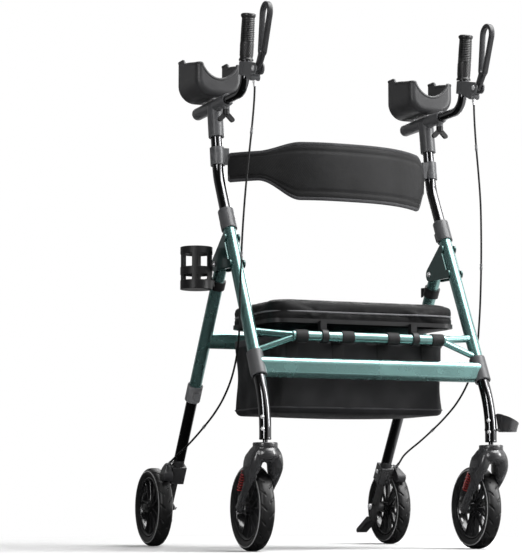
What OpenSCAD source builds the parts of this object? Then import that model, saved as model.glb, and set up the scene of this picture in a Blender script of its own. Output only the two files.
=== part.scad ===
// Upright walker on four wheels, with arm troughs, a folding rear frame, a seat and a storage bag.
// X runs across, +X to the user's right as seen from the front; Y runs to the rear; Z is up.

/* [Stance] */
// Clear space from each seat edge to the middle of the side frame beside it
leg_clear = 44; // [30:1:60]
// Distance from the front axles to the rear axles
wheelbase = 573; // [540:1:600]
// Lean of the front legs
front_lean = 27.3; // [25:0.1:29]
// How far the fold pivot lies behind the front leg line
pivot_behind = 94.3; // [85:0.1:105]
// Height of the corner where the front leg line meets the caster stem line
knee_z = 341; // [330:1:350]
// Height of the fold pivot
pivot_z = 702; // [690:1:710]

/* [Tubes] */
// Outer diameter of the frame tubes
tube_d = 31.8; // [30:0.1:34]
// Wall of the frame tubes and of the tubes that slide in them
tube_wall = 1.3; // [1:0.1:1.6]
// Running clearance of a sliding tube in its frame tube
slide_gap = 0.3; // [0.2:0.05:0.5]
// Outer diameter of the clamp collars
collar_d = 40; // [38:0.5:44]
// Length of the lower front collars
lower_collar_l = 66; // [50:1:80]
// Length of the upper front collars
upper_collar_l = 58; // [45:1:70]
// Length of the rear collars
rear_collar_l = 46; // [36:1:60]
// Height of the oval crossbars
crossbar_h = 50; // [40:1:56]
// Depth of the oval crossbars
crossbar_t = 30; // [24:1:31]
// Diameter of the seat tube
seat_tube_d = 25.4; // [22:0.2:28]
// Diameter of the stubs and braces at the ends of the seat tube
brace_d = 19; // [14:0.5:22]

/* [Wheels] */
// Outer diameter of all four wheels
wheel_d = 203; // [195:1:210]
// Width of the tyres
tyre_w = 40; // [36:1:44]
// Height of the tyre section
tyre_h = 23; // [18:1:28]
// Width of the rim
rim_w = 30; // [26:1:34]
// Depth of the rim's ring
rim_h = 9; // [6:0.5:12]
// Spokes of a rim
spoke_count = 10; // [6:1:14]
// Diameter of the wheel hubs
hub_d = 40; // [34:1:46]
// Diameter of the axles
axle_d = 10; // [8:0.5:12]
// Distance from the caster stem back to the front axle
trail = 80; // [75:1:85]
// Distance from a side frame out to the middle of its rear wheel
wheel_out = 43; // [40:1:50]

/* [Caster forks] */
// Top of the fork's cap ring
fork_top_z = 254; // [250:1:258]
// Diameter of the fork's cap ring
fork_cap_d = 54; // [48:1:60]
// Radius of the fork's arms at the crown
fork_crown_r = 33; // [30:1:36]
// Radius of the fork's arms at the axle
fork_tip_r = 17; // [15:0.5:20]
// Thickness of each fork arm
fork_arm_t = 15; // [13:0.5:17]
// Gap beside and above the tyre in the fork
fork_gap = 3.5; // [3:0.5:6]
// Diameter of the caster stem
stem_d = 12; // [10:0.5:14]
// Curls of a fork spring
spring_turns = 8; // [5:1:9]
// Rise of a fork spring per curl
spring_pitch = 5; // [4:0.1:5.4]
// Outer diameter of a fork spring
spring_d = 15; // [12:0.5:16]
// Wire of a fork spring
spring_wire = 2.6; // [2:0.1:3]

/* [Seat and bag] */
// Width of the seat
seat_w = 512; // [480:2:530]
// Front edge of the seat, behind the front axles
seat_front_y = -12; // [-20:1:0]
// Depth of the seat
seat_depth = 292; // [270:1:300]
// Underside of the seat board
seat_z = 545; // [540:1:550]
// Thickness of the seat board
board_t = 10; // [8:0.5:14]
// Thickness of the cushion at its edge
cushion_t = 42; // [35:1:50]
// Rise of the cushion's crown above its edge
cushion_crown = 10; // [4:1:16]
// Corner radius of the seat
seat_corner_r = 42; // [30:1:60]
// Width of the bag
bag_w = 470; // [430:2:480]
// Depth of the bag
bag_depth = 255; // [220:1:258]
// Height of the bag
bag_h = 188; // [170:1:190]
// Thickness of the bag's walls
bag_wall = 3; // [2:0.5:5]
// Width of the webbing loops
webbing_w = 32; // [24:1:38]
// Spacing of the webbing loops
webbing_pitch = 122; // [110:1:126]

/* [Upper part] */
// Height of the bend in the posts
post_bend_z = 930; // [925:1:940]
// Lean of the posts above the bend
post_lean = 8.2; // [6:0.1:11]
// Height of the handle tubes
handle_z = 1112; // [1106:1:1118]
// Diameter of the handle tubes
handle_d = 22.2; // [20:0.2:25.4]
// Outer diameter of the sleeve that holds a handle tube
sleeve_d = 32; // [30:0.5:36]
// Length of the sleeve
sleeve_l = 212; // [190:1:220]
// Distance from the sleeve's front end back to the post
sleeve_lead = 90; // [80:1:100]
// Length of the arm trough
trough_l = 132; // [110:1:150]
// Outer width of the arm trough
trough_w = 126; // [110:1:136]
// Wall of the arm trough
trough_wall = 6; // [4:0.5:9]
// Height of the arm trough
trough_h = 104; // [90:1:115]
// Gap between the sleeve and the trough
trough_lift = 4; // [3:0.5:18]
// Lean of the grips
grip_lean = 7.6; // [4:0.2:12]
// Diameter of the grips
grip_d = 33; // [30:0.5:36]
// Length of the grips
grip_l = 116; // [100:1:125]
// Ribs of a grip
grip_ribs = 13; // [8:1:16]

/* [Brakes] */
// Width of the brake lever's loop
lever_loop_w = 56; // [50:1:62]
// Length of the brake lever's loop between its round ends
lever_loop_l = 88; // [76:1:94]
// Width of the bar that forms the loop
lever_bar = 11; // [9:0.5:14]
// Thickness of the brake lever
lever_t = 14; // [12:0.5:16]
// Diameter of the brake cable
cable_d = 4; // [3.5:0.1:5]

/* [Belt and accessories] */
// Height of the belt in its middle
belt_h = 138; // [110:1:150]
// Height of the belt at its ends
belt_end_h = 66; // [54:1:76]
// Thickness of the belt
belt_t = 14; // [10:0.5:18]
// Height of the belt's ends
belt_z = 951; // [946:1:956]
// How far the belt bows forward from its ends
belt_bow = 132; // [110:1:150]
// Outer diameter of the cup holder
cup_d = 80; // [74:1:86]
// Height of the cup holder
cup_h = 104; // [90:1:115]
// Wall of the cup holder
cup_wall = 3; // [2:0.5:5]
// Outer diameter of the cane cup
cane_d = 52; // [44:1:54]
// Height of the cane cup
cane_h = 44; // [30:1:50]

/* [Hidden] */
$fn = 48;
leg_x = seat_w / 2 + leg_clear;
rear_wheel_x = leg_x + wheel_out;

teal = [0.16, 0.36, 0.34];
black = [0.07, 0.07, 0.08];
rubber = [0.13, 0.13, 0.13];
dark_grey = [0.27, 0.27, 0.29];
mid_grey = [0.42, 0.43, 0.45];
steel = [0.78, 0.79, 0.8];
red = [0.72, 0.12, 0.1];

// Clearance of a fixed seat, and of a pin in its hole
seat_gap = 0.2;
pin_gap = 0.3;
// Clearance that a cutter runs past the face it cuts
over = 1;
// Wheel and tube sizes that follow from the driving ones
wheel_r = wheel_d / 2;
slider_d = tube_d - 2 * tube_wall - 2 * slide_gap;
handle_bore = handle_d + 2 * slide_gap;
// Sides of a bent bar, and steps of its bend
bar_sides = 24;
bar_steps = 6;
// Plates that hold the fold pivots
plate_t = 4;
plate_r = 18;
bolt_d = 8;
bolt_head_d = 15;
bolt_head_h = 5;

// The front leg line, with distances along it counted from the knee corner
front_dir = [0, sin(front_lean), cos(front_lean)];
knee = [0, -trail, knee_z];
function on_front(t) = knee + t * front_dir;
knee_r = 250;
knee_tangent = knee_r * tan(front_lean / 2);
lower_collar_t = 79;
upper_collar_t = 497;
collar_lip = 6;
front_leg_t0 = lower_collar_t + collar_lip;
front_leg_t1 = upper_collar_t + upper_collar_l - collar_lip;
front_overlap = 150;
post_overlap = 150;

// The rear leg line, with distances along it counted from the rear axle
pivot_y = on_front((pivot_z - knee_z) / cos(front_lean))[1] + pivot_behind;
rear_lean = atan2(wheelbase - pivot_y, pivot_z - wheel_r);
rear_dir = [0, -sin(rear_lean), cos(rear_lean)];
rear_axle = [0, wheelbase, wheel_r];
function on_rear(t) = rear_axle + t * rear_dir;
pivot_t = (pivot_z - wheel_r) / cos(rear_lean);
pivot = on_rear(pivot_t);
plate_drop = 6;
plate_span = 76;
plate_end_r = 11;
rear_collar_t = 320;
rear_leg_t0 = rear_collar_t + collar_lip;
rear_leg_t1 = pivot_t + plate_r - 2;
rear_overlap = 150;

// The post's bend and the T-bracket above it
bend_t = (post_bend_z - knee_z) / cos(front_lean);
post_bend_r = 150;
post_turn = front_lean - post_lean;
post_tangent = post_bend_r * tan(post_turn / 2);
post_dir = [0, sin(post_lean), cos(post_lean)];
function on_post(u) = on_front(bend_t) + u * post_dir;
tee_u = (handle_z - post_bend_z) / cos(post_lean);
tee = on_post(tee_u);
socket_l = 84;
post_top_u = tee_u - sleeve_d / 2 - 8;
sleeve_y0 = tee[1] - sleeve_lead;
sleeve_y1 = sleeve_y0 + sleeve_l;

// The handle tube and the grip
handle_bend_r = 45;
handle_turn = 90 - grip_lean;
handle_tangent = handle_bend_r * tan(handle_turn / 2);
handle_corner_y = 50;
handle_inside = 182;
grip_dir = [0, -sin(grip_lean), cos(grip_lean)];
function on_grip(v) = [0, handle_corner_y, handle_z] + v * grip_dir;
grip_v0 = 74;
grip_end_wall = 3;

// The brake lever: pivot, loop and housing, seen from the side as [Y, Z]
lever_pivot = [-35, 1152];
lever_low = [-64, 1192];
lever_tilt = 15;
lever_high = lever_low + lever_loop_l * [-sin(lever_tilt), cos(lever_tilt)];
lever_root_r = 9;
lever_low_r = 16;
housing_cheek = 5;
housing_t0 = 40;
housing_l = 32;
lever_side_gap = 0.5;
slot_gap = 4;
slot_reach = 40;
lever_pin_d = 6;

// The arm trough and its bolts
trough_y0 = 214;
trough_z = handle_z + sleeve_d / 2 + trough_lift;
trough_bolt_pitch = 64;
trough_bolt_y = trough_y0 + trough_l / 2;
trough_bolt_d = 8;
trough_r = 44;
trough_ear = 13;
trough_ear_l = 40;
trough_dip = 38;
trough_dip_r = trough_w / 2 - trough_wall;

// The wing screw below the sleeve's front end
screw_y = sleeve_y0 + 12;
screw_d = 6;
screw_boss_d = 18;
screw_boss_h = 8;
wing_span = 44;
wing_drop = 34;

// The crossbars and the seat tube
rest_gap = 0.5;
front_bar_z = 434;
front_bar = on_front((front_bar_z - knee_z) / cos(front_lean));
rear_bar_h = 44;
rear_bar_z = seat_z - rest_gap - rear_bar_h / 2;
rear_bar = on_rear((rear_bar_z - wheel_r) / cos(rear_lean));
seat_tube_y = -21;
seat_tube_z = 512;
seat_tube_end = 6;
seat_tube_half = 1.5 * webbing_pitch + webbing_w / 2 + seat_tube_end;
stub_z = 522;
brace_z = 472;
hinge_x = webbing_pitch;
belt_left_s = 0.46;
belt_left_run = 0.34;
belt_right_s = 0.84;
belt_right_run = 0.16;
hinge_w = 16;
hinge_wall = 4;
rest_x = 150;
rest_w = 30;

// The storage bag
bag_y0 = 34;
bag_top_z = 516;
bag_seam = 4;
loop_t = 2;

// Wheel sections
tyre_seat_d = wheel_d - 2 * tyre_h;
hub_l = 38;
bearing_d = 26;
spoke_t = 5;
spoke_deep = 22;
spoke_sink = 2;
hub_band = 6;
rim_flat = 6.5;

// Fork sections; the fork turns about the stem at [0, -trail]
crown = [-trail + 4, 212];
arm_inner = tyre_w / 2 + fork_gap;
arm_outer = arm_inner + fork_arm_t;
fork_ring_h = 12;
stem_top_gap = 8;
arch_z = wheel_d - 8;
stem_bottom_z = arch_z + arm_inner + 6;
spring_r = (spring_d - spring_wire) / 2;
spring_l = spring_turns * spring_pitch + spring_wire;
spring_pocket_gap = 0.4;
spring_rings = 8;
spring_sides = 6;
fork_angle = atan2(0 - crown[0], crown[1] - wheel_r);
spring_from = 46;
spring_back = 17;
spring_mouth = 35;

// Rear brake and kerb pedal, measured along the rear leg from the axle
shoe_pivot_t = 120;
bracket_t0 = 80;
bracket_l = 50;
bracket_wall = 4;
shoe_gap = 2.5;
shoe_at = wheel_r + 12;
shoe_r = 12;
shoe_slope = 4;
shoe_angle = rear_lean + 14;
shoe_w = 12;
shoe_arm_t = 8;
blade_t = 10;
blade_w = 22;
blade_in = 14;
blade_t0 = -40;
pedal_tip = [wheelbase + 84, 36];
pedal_w = 28;
pedal_t = 14;
foot_in = 4;
foot_plug = 24;
spacer_d = 20;
spacer_gap = 0.5;
nut_h = 8;
nut_d = 17;
boss_h = 4;
boss_d = 24;

// The belt
clamp_h = 46;
clamp_wall = 4;
clamp_plate_t = 8;
clamp_reach = 12;
clamp_u = post_tangent + 1;
belt_half = leg_x - slider_d / 2 - clamp_reach - seat_gap;
belt_y = on_post(clamp_u)[1] - 6;
belt_steps = 32;
belt_drop = 16;

// The cup holder, the cane clip and the cane cup
cup_z = 638;
cup_gap = 12;
cup_back = -10;
cup_x = leg_x + tube_d / 2 + cup_d / 2 + cup_gap;
cup_y = on_rear((cup_z + cup_h / 2 - wheel_r) / cos(rear_lean))[1] + cup_back;
clip_z = 660;
clip_t = (clip_z - wheel_r) / cos(rear_lean);
clip_d = 30;
clip_bore = 22;
clip_h = 24;
clip_mouth = 16;
cup_band_up = 18;
cup_clamp_w = 24;
cup_clamp_wall = 4;
cane_x = leg_x + slider_d / 2 + cane_d / 2 + 6;
cane_z = 286;
cane_wall = 4;
cane_band_z = fork_top_z + stem_top_gap + 1;
cane_band_h = knee_z - knee_tangent - cane_band_z;

// Route of the brake cable on one side, from the brake housing down to the rear brake
cable_route = [
    [leg_x, -14, 1130], [leg_x, -14, 1100], [leg_x + 2, -13, 1060], [leg_x + 7, -11, 1000],
    [leg_x + 14, -9, 930], [leg_x + 20, -6, 860], [leg_x + 24, 0, 780], [leg_x + 26, 6, 700],
    [leg_x + 26, 12, 620], [leg_x + 25, 18, 560], [leg_x + 24, 26, 510], [leg_x + 23, 44, 460],
    [leg_x + 22, 0.14 * wheelbase, 410], [leg_x + 21, 0.234 * wheelbase, 366],
    [leg_x + 20, 0.349 * wheelbase, 330], [leg_x + 20, 0.471 * wheelbase, 300],
    [leg_x + 20, 0.593 * wheelbase, 273], [leg_x + 20, 0.699 * wheelbase, 252],
    [leg_x + 23, 0.772 * wheelbase, 237], [leg_x + 28, 0.828 * wheelbase, 222],
    [leg_x + 30, 0.861 * wheelbase, 213]
];
cable_sides = 8;

// The whole walker is moved so that its box stands centred on the origin
side_reach = rear_wheel_x + tyre_w / 2 + 12;
cup_reach = cup_x + cup_d / 2;
lever_reach = lever_high[0] - lever_loop_w / 2;
shift = [(cup_reach - side_reach) / 2, -(lever_reach + wheelbase + wheel_r) / 2, 0];

module placed() {
    translate(shift) children();
}

// Draws its children on the right side frame, or mirrored on the left one
module on_side(side) {
    if (side > 0) translate([leg_x, 0, 0]) children();
    else mirror([1, 0, 0]) translate([leg_x, 0, 0]) children();
}

// Turns +Z to the direction of v
module along(v) {
    rotate([0, acos(v[2] / norm(v)), atan2(v[1], v[0])]) children();
}

// Round bar from a to b
module rod(a, b, d) {
    translate(a) along(b - a) cylinder(h = norm(b - a), d = d);
}

// Hollow round tube from a to b
module pipe(a, b, d, bore) {
    dir = (b - a) / norm(b - a);
    difference() {
        rod(a, b, d);
        rod(a - over * dir, b + over * dir, bore);
    }
}

// Ring of a bent bar: its centre at [y, z], facing along the direction that is a degrees from +Z to +Y
function bar_ring(y, z, a, r) = [
    for (k = [0:bar_sides - 1])
        let (c = r * cos(360 * k / bar_sides), q = r * sin(360 * k / bar_sides))
        [c, y + q * cos(a), z - q * sin(a)]
];
// Rings of a bar that runs along +Z for a length, turns towards +Y on a radius, and runs on
function bar_rings(length, turn, radius, rest, r) =
    let (way = turn < 0 ? -1 : 1, y = way * radius * (1 - cos(turn)), z = length + radius * sin(abs(turn)))
    concat(
        [bar_ring(0, 0, 0, r)],
        [
            for (i = [0:bar_steps])
                let (a = turn * i / bar_steps)
                bar_ring(way * radius * (1 - cos(a)), length + radius * sin(abs(a)), a, r)
        ],
        [bar_ring(y + rest * sin(turn), z + rest * cos(turn), turn, r)]
    );

// Flat outline of a link with two round ends of different radii
module link2d(a, ra, b, rb) {
    d = norm(b - a);
    base = atan2(b[1] - a[1], b[0] - a[0]);
    open = acos((ra - rb) / d);
    translate(a) circle(r = ra);
    translate(b) circle(r = rb);
    polygon([
        a + ra * [cos(base + open), sin(base + open)],
        b + rb * [cos(base + open), sin(base + open)],
        b + rb * [cos(base - open), sin(base - open)],
        a + ra * [cos(base - open), sin(base - open)]
    ]);
}

// Extrudes a [Y, Z] outline along X, from x0 over a thickness t
module side_plate(x0, t) {
    translate([x0, 0, 0]) rotate([90, 0, 90]) linear_extrude(t) children();
}

// Extrudes an [X, Z] outline along Y, from y0 over a length l
module front_plate(y0, l) {
    translate([0, y0 + l, 0]) rotate([90, 0, 0]) linear_extrude(l) children();
}

// Bolt across X with a domed head at each end of its shank
module cross_bolt(y, z, x0, x1, d) {
    translate([x0, y, z]) rotate([0, 90, 0]) cylinder(h = x1 - x0, d = d);
    translate([x1, y, z]) rotate([0, 90, 0]) cylinder(h = bolt_head_h, d1 = bolt_head_d, d2 = d);
    translate([x0, y, z]) rotate([0, -90, 0]) cylinder(h = bolt_head_h, d1 = bolt_head_d, d2 = d);
}

// Collar over the end of a tube: bored for the tube, with a lip bored for the slider, and a clamp ear
module collar(length, ear_w) {
    difference() {
        union() {
            cylinder(h = length, d = collar_d);
            side_plate(-ear_w / 2, ear_w)
                translate([collar_d / 2 - 6, length * 0.28]) square([16, length * 0.44]);
        }
        translate([0, 0, -over]) cylinder(h = length + 2 * over, d = slider_d + 2 * slide_gap);
        translate([0, 0, collar_lip]) cylinder(h = length, d = tube_d + 2 * seat_gap);
        side_plate(-1, 2)
            translate([0, -over]) square([collar_d, length + 2 * over]);
    }
}

// Front frame

module front_leg(side) {
    color(teal) on_side(side)
        pipe(on_front(front_leg_t0), on_front(front_leg_t1), tube_d, tube_d - 2 * tube_wall);
}

// Upright flat-sided oval: a rectangle with a half circle on each end
module oval2d(height, depth) {
    end = (height - depth) / 2;
    translate([-depth / 2, -end]) square([depth, 2 * end]);
    for (way = [-1, 1])
        difference() {
            translate([0, way * end]) circle(d = depth);
            translate([-depth, way > 0 ? end - depth : -end]) square([2 * depth, depth]);
        }
}

// Oval bar across the walker, coped at both ends to what it is welded to
module oval_bar(at, height, depth, leg_dir, cope_d) {
    difference() {
        side_plate(-leg_x + 6, 2 * leg_x - 12)
            translate([at[1], at[2]]) oval2d(height, depth);
        for (side = [-1, 1])
            on_side(side)
                rod(at - height * leg_dir, at + height * leg_dir, cope_d + 2 * seat_gap);
    }
}

module front_crossbar() {
    color(teal) oval_bar(front_bar, crossbar_h, crossbar_t, front_dir, collar_d);
}

module seat_tube() {
    stub = on_front((stub_z - knee_z) / cos(front_lean));
    low = on_front((brace_z - knee_z) / cos(front_lean));
    corner = [seat_tube_half - 14, seat_tube_y, seat_tube_z];
    color(teal) difference() {
        union() {
            translate([-seat_tube_half, seat_tube_y, seat_tube_z])
                rotate([0, 90, 0]) cylinder(h = 2 * seat_tube_half, d = seat_tube_d);
            for (side = [-1, 1])
                mirrored(side) {
                    rod(corner, [leg_x, stub[1], stub[2]], brace_d);
                    rod(corner, [leg_x, low[1], low[2]], brace_d * 0.85);
                }
        }
        for (side = [-1, 1])
            on_side(side)
                rod(on_front(lower_collar_t), on_front(upper_collar_t), tube_d + 2 * seat_gap);
        for (side = [-1, 1])
            on_side(side)
                rod(
                    on_front(lower_collar_t - over), on_front(lower_collar_t + lower_collar_l + over),
                    collar_d + 2 * seat_gap
                );
        translate([-seat_tube_half - over, seat_tube_y, seat_tube_z])
            rotate([0, 90, 0])
                cylinder(h = 2 * seat_tube_half + 2 * over, d = seat_tube_d - 4 * tube_wall);
    }
}

// Mirrors its children for the left side
module mirrored(side) {
    if (side > 0) children();
    else mirror([1, 0, 0]) children();
}

module fold_plate() {
    top = on_front(upper_collar_t - plate_r - plate_drop);
    low = on_front(upper_collar_t - plate_r - plate_drop - plate_span);
    link2d([pivot[1], pivot[2]], plate_r, [top[1], top[2]], plate_end_r);
    link2d([pivot[1], pivot[2]], plate_r, [low[1], low[2]], plate_end_r);
    polygon([[pivot[1], pivot[2]], [top[1], top[2]], [low[1], low[2]]]);
}

module fold_brackets() {
    inner = tube_d / 2 + slide_gap;
    color(teal) for (side = [-1, 1])
        on_side(side)
            for (x = [-inner - plate_t, inner])
                difference() {
                    side_plate(x, plate_t) fold_plate();
                    translate([x - over, pivot[1], pivot[2]])
                        rotate([0, 90, 0]) cylinder(h = plate_t + 2 * over, d = bolt_d + 2 * pin_gap);
                }
}

module leg_collars() {
    color(dark_grey) for (side = [-1, 1])
        on_side(side) {
            translate(on_front(lower_collar_t)) along(front_dir)
                rotate([0, 0, -90]) collar(lower_collar_l, 18);
            translate(on_front(upper_collar_t + upper_collar_l)) along(-front_dir)
                rotate([0, 0, -90]) collar(upper_collar_l, 18);
        }
}

module frame_bolts() {
    reach = tube_d / 2 + slide_gap + plate_t;
    color(steel) for (side = [-1, 1])
        on_side(side) cross_bolt(pivot[1], pivot[2], -reach, reach, bolt_d);
}

// Open-topped bag on webbing loops round the seat tube
module storage_bag() {
    loop_inner = seat_tube_d / 2 + slide_gap;
    color(black) {
        difference() {
            translate([-bag_w / 2, bag_y0, bag_top_z - bag_h]) cube([bag_w, bag_depth, bag_h]);
            translate([-bag_w / 2 + bag_wall, bag_y0 + bag_wall, bag_top_z - bag_h + bag_wall])
                cube([bag_w - 2 * bag_wall, bag_depth - 2 * bag_wall, bag_h]);
        }
        for (i = [-1.5:1:1.5])
            side_plate(i * webbing_pitch - webbing_w / 2, webbing_w) difference() {
                union() {
                    translate([seat_tube_y, seat_tube_z]) circle(r = loop_inner + loop_t);
                    translate([seat_tube_y, bag_top_z - bag_seam - 10])
                        square([bag_y0 - seat_tube_y, 14]);
                }
                translate([seat_tube_y, seat_tube_z]) circle(r = loop_inner);
            }
    }
}

// One cord swept along a route of points
function cable_ring(route, i) =
    let (
        a = route[max(i - 1, 0)],
        b = route[min(i + 1, len(route) - 1)],
        t = (b - a) / norm(b - a),
        u = cross(t, [1, 0, 0]) / norm(cross(t, [1, 0, 0])),
        v = cross(t, u)
    )
    [
        for (k = [0:cable_sides - 1])
            route[i] + cable_d / 2 * (cos(360 * k / cable_sides) * u + sin(360 * k / cable_sides) * v)
    ];

module swept(rings) {
    sides = len(rings[0]);
    count = len(rings);
    points = [for (ring = rings) for (p = ring) p];
    walls = [
        for (i = [0:count - 2])
            for (k = [0:sides - 1])
                let (m = (k + 1) % sides)
                for (face = [
                    [i * sides + k, i * sides + m, (i + 1) * sides + m],
                    [i * sides + k, (i + 1) * sides + m, (i + 1) * sides + k]
                ]) face
    ];
    first = [for (k = [1:sides - 2]) [0, k + 1, k]];
    far = (count - 1) * sides;
    last = [for (k = [1:sides - 2]) [far, far + k, far + k + 1]];
    polyhedron(points, concat(walls, first, last));
}

module brake_cable(side) {
    color(black) mirrored(side)
        swept([for (i = [0:len(cable_route) - 1]) cable_ring(cable_route, i)]);
}

// Rear frame

module rear_leg(side) {
    color(teal) on_side(side) difference() {
        pipe(on_rear(rear_leg_t0), on_rear(rear_leg_t1), tube_d, tube_d - 2 * tube_wall);
        translate([-tube_d, pivot[1], pivot[2]])
            rotate([0, 90, 0]) cylinder(h = 2 * tube_d, d = bolt_d + 2 * pin_gap);
    }
}

module rear_crossbar() {
    color(teal) oval_bar(rear_bar, rear_bar_h, crossbar_t, rear_dir, tube_d);
}

module rear_collars() {
    color(mid_grey) for (side = [-1, 1])
        on_side(side)
            translate(on_rear(rear_collar_t)) along(rear_dir)
                rotate([0, 0, -90]) collar(rear_collar_l, 18);
}

// Band round a rear leg, square to it, with its middle at a distance t
module leg_band(t, width, wall) {
    translate(on_rear(t - width / 2)) along(rear_dir) difference() {
        cylinder(h = width, d = tube_d + 2 * seat_gap + 2 * wall);
        translate([0, 0, -over]) cylinder(h = width + 2 * over, d = tube_d + 2 * seat_gap);
    }
}

// Cup on an arm from a band round the left rear leg
module cup_holder() {
    t = (cup_z + cup_band_up - wheel_r) / cos(rear_lean);
    at = on_rear(t);
    color(black) mirror([1, 0, 0]) difference() {
        union() {
            translate([cup_x, cup_y, cup_z]) rotate([0, 0, 90]) cylinder(h = cup_h, d = cup_d);
            translate([leg_x, 0, 0])
                rod(
                    on_rear(t - cup_clamp_w / 2), on_rear(t + cup_clamp_w / 2),
                    tube_d + 2 * seat_gap + 2 * cup_clamp_wall
                );
            translate([leg_x, at[1], at[2] - cup_clamp_w / 2])
                linear_extrude(cup_clamp_w) link2d([0, 0], 10, [cup_x - leg_x, cup_y - at[1]], 9);
        }
        translate([leg_x, 0, 0]) rod(on_rear(t - 60), on_rear(t + 60), tube_d + 2 * seat_gap);
        translate([cup_x, cup_y, cup_z + cup_wall]) rotate([0, 0, 90])
            cylinder(h = cup_h, d = cup_d - 2 * cup_wall);
        translate([cup_x + cup_d / 2 - 2 * cup_wall, cup_y, cup_z]) rotate([90, 0, 90])
            linear_extrude(4 * cup_wall) link2d([0, cup_h * 0.36], 14, [0, cup_h * 0.68], 14);
    }
}

// Band round the right rear leg with an open clip behind it
module cane_clip() {
    at = on_rear(clip_t);
    clip_y = at[1] + tube_d / 2 + cup_clamp_wall + clip_bore / 2 + 1;
    color(black) translate([leg_x, 0, 0]) {
        leg_band(clip_t, cup_clamp_w, cup_clamp_wall);
        translate([0, 0, at[2] - clip_h / 2]) difference() {
            translate([0, clip_y - 4, 0]) cylinder(h = clip_h, d = clip_d);
            translate([0, clip_y, -over]) cylinder(h = clip_h + 2 * over, d = clip_bore);
            translate([-clip_mouth / 2, clip_y, -over]) cube([clip_mouth, clip_d, clip_h + 2 * over]);
            translate([0, 0, clip_h / 2 - at[2]])
                rod(on_rear(clip_t - 60), on_rear(clip_t + 60), tube_d + 2 * cup_clamp_wall);
        }
    }
}

// Seat

// Rounded rectangle made of circles and squares
module round_rect(w, d, r) {
    translate([-w / 2 + r, 0]) square([w - 2 * r, d]);
    translate([-w / 2, r]) square([w, d - 2 * r]);
    for (x = [-w / 2 + r, w / 2 - r])
        for (y = [r, d - r])
            translate([x, y]) circle(r = r);
}

module seat_board() {
    bore = seat_tube_d + 2 * slide_gap;
    outer = seat_tube_d / 2 + slide_gap + hinge_wall;
    color(black) difference() {
        union() {
            translate([0, seat_front_y + 4, seat_z])
                linear_extrude(board_t) round_rect(seat_w - 8, seat_depth - 8, seat_corner_r);
            for (x = [-hinge_x, hinge_x])
                side_plate(x - hinge_w / 2, hinge_w) {
                    translate([seat_tube_y, seat_tube_z]) circle(r = outer);
                    translate([seat_tube_y, seat_tube_z]) square([outer, seat_z + board_t / 2 - seat_tube_z]);
                }
            for (x = [-rest_x, rest_x])
                translate([x - rest_w / 2, seat_front_y + seat_depth - 40, seat_z])
                    cube([rest_w, rear_bar[1] + 12 - (seat_front_y + seat_depth - 40), board_t]);
        }
        for (x = [-hinge_x, hinge_x])
            translate([x - hinge_w, seat_tube_y, seat_tube_z])
                rotate([0, 90, 0]) cylinder(h = 2 * hinge_w, d = bore);
    }
}

// Cushion form: rings whose corners stay put while the sides draw in, under a swelling crown
corner_points = 5;
edge_points = 6;
side_draw = 7;
cushion_levels = [[0, 0.975], [0.15, 0.992], [0.5, 1], [0.85, 0.992], [1, 0.965]];
crown_levels = [0.9, 0.75, 0.5, 0.25];

// Arc point k of the corner that starts at 90 * q degrees
function seat_corner(q, k) =
    let (
        a = 90 * q + 90 * k / corner_points,
        x = (q == 0 || q == 3 ? 1 : -1) * (seat_w / 2 - seat_corner_r),
        y = (q < 2 ? 1 : -1) * (seat_depth / 2 - seat_corner_r)
    )
    [x, y] + seat_corner_r * [cos(a), sin(a)];
// Edge point j after that corner, drawn in towards the middle
function seat_edge(q, j) =
    let (
        from = seat_corner(q, corner_points),
        to = seat_corner((q + 1) % 4, 0),
        a = 90 * q + 90
    )
    from + (to - from) * j / edge_points - side_draw * sin(180 * j / edge_points) * [cos(a), sin(a)];
seat_rim = [
    for (q = [0:3])
        for (p = concat(
            [for (k = [0:corner_points]) seat_corner(q, k)],
            [for (j = [1:edge_points - 1]) seat_edge(q, j)]
        )) p
];

module seat_cushion() {
    z0 = seat_z + board_t + seat_gap;
    rings = concat(
        [for (level = cushion_levels) [for (p = seat_rim) concat(level[1] * p, z0 + level[0] * cushion_t)]],
        [
            for (s = crown_levels)
                [for (p = seat_rim) concat(s * p, z0 + cushion_t + cushion_crown * (1 - pow(s, 3)))]
        ]
    );
    color(black) translate([0, seat_front_y + seat_depth / 2, 0]) stacked(rings);
}

// Rings stacked from the bottom up, closed by a fan at each end
module stacked(rings) {
    sides = len(rings[0]);
    count = len(rings);
    points = [for (ring = rings) for (p = ring) p];
    low = [0, 0, rings[0][0][2]];
    high = [0, 0, rings[count - 1][0][2]];
    walls = [
        for (i = [0:count - 2])
            for (k = [0:sides - 1])
                let (m = (k + 1) % sides)
                for (face = [
                    [i * sides + k, (i + 1) * sides + m, i * sides + m],
                    [i * sides + k, (i + 1) * sides + k, (i + 1) * sides + m]
                ]) face
    ];
    last = (count - 1) * sides;
    bottom = [for (k = [0:sides - 1]) [count * sides, k, (k + 1) % sides]];
    top = [for (k = [0:sides - 1]) [count * sides + 1, last + (k + 1) % sides, last + k]];
    polyhedron(concat(points, [low, high]), concat(walls, bottom, top));
}

// Upper part

module post(side) {
    straight = post_overlap + bend_t - front_leg_t1 - post_tangent;
    color(black) on_side(side)
        translate(on_front(front_leg_t1 - post_overlap)) rotate([-front_lean, 0, 0])
            swept(bar_rings(straight, -post_turn, post_bend_r, post_top_u - post_tangent, slider_d / 2));
}

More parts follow.
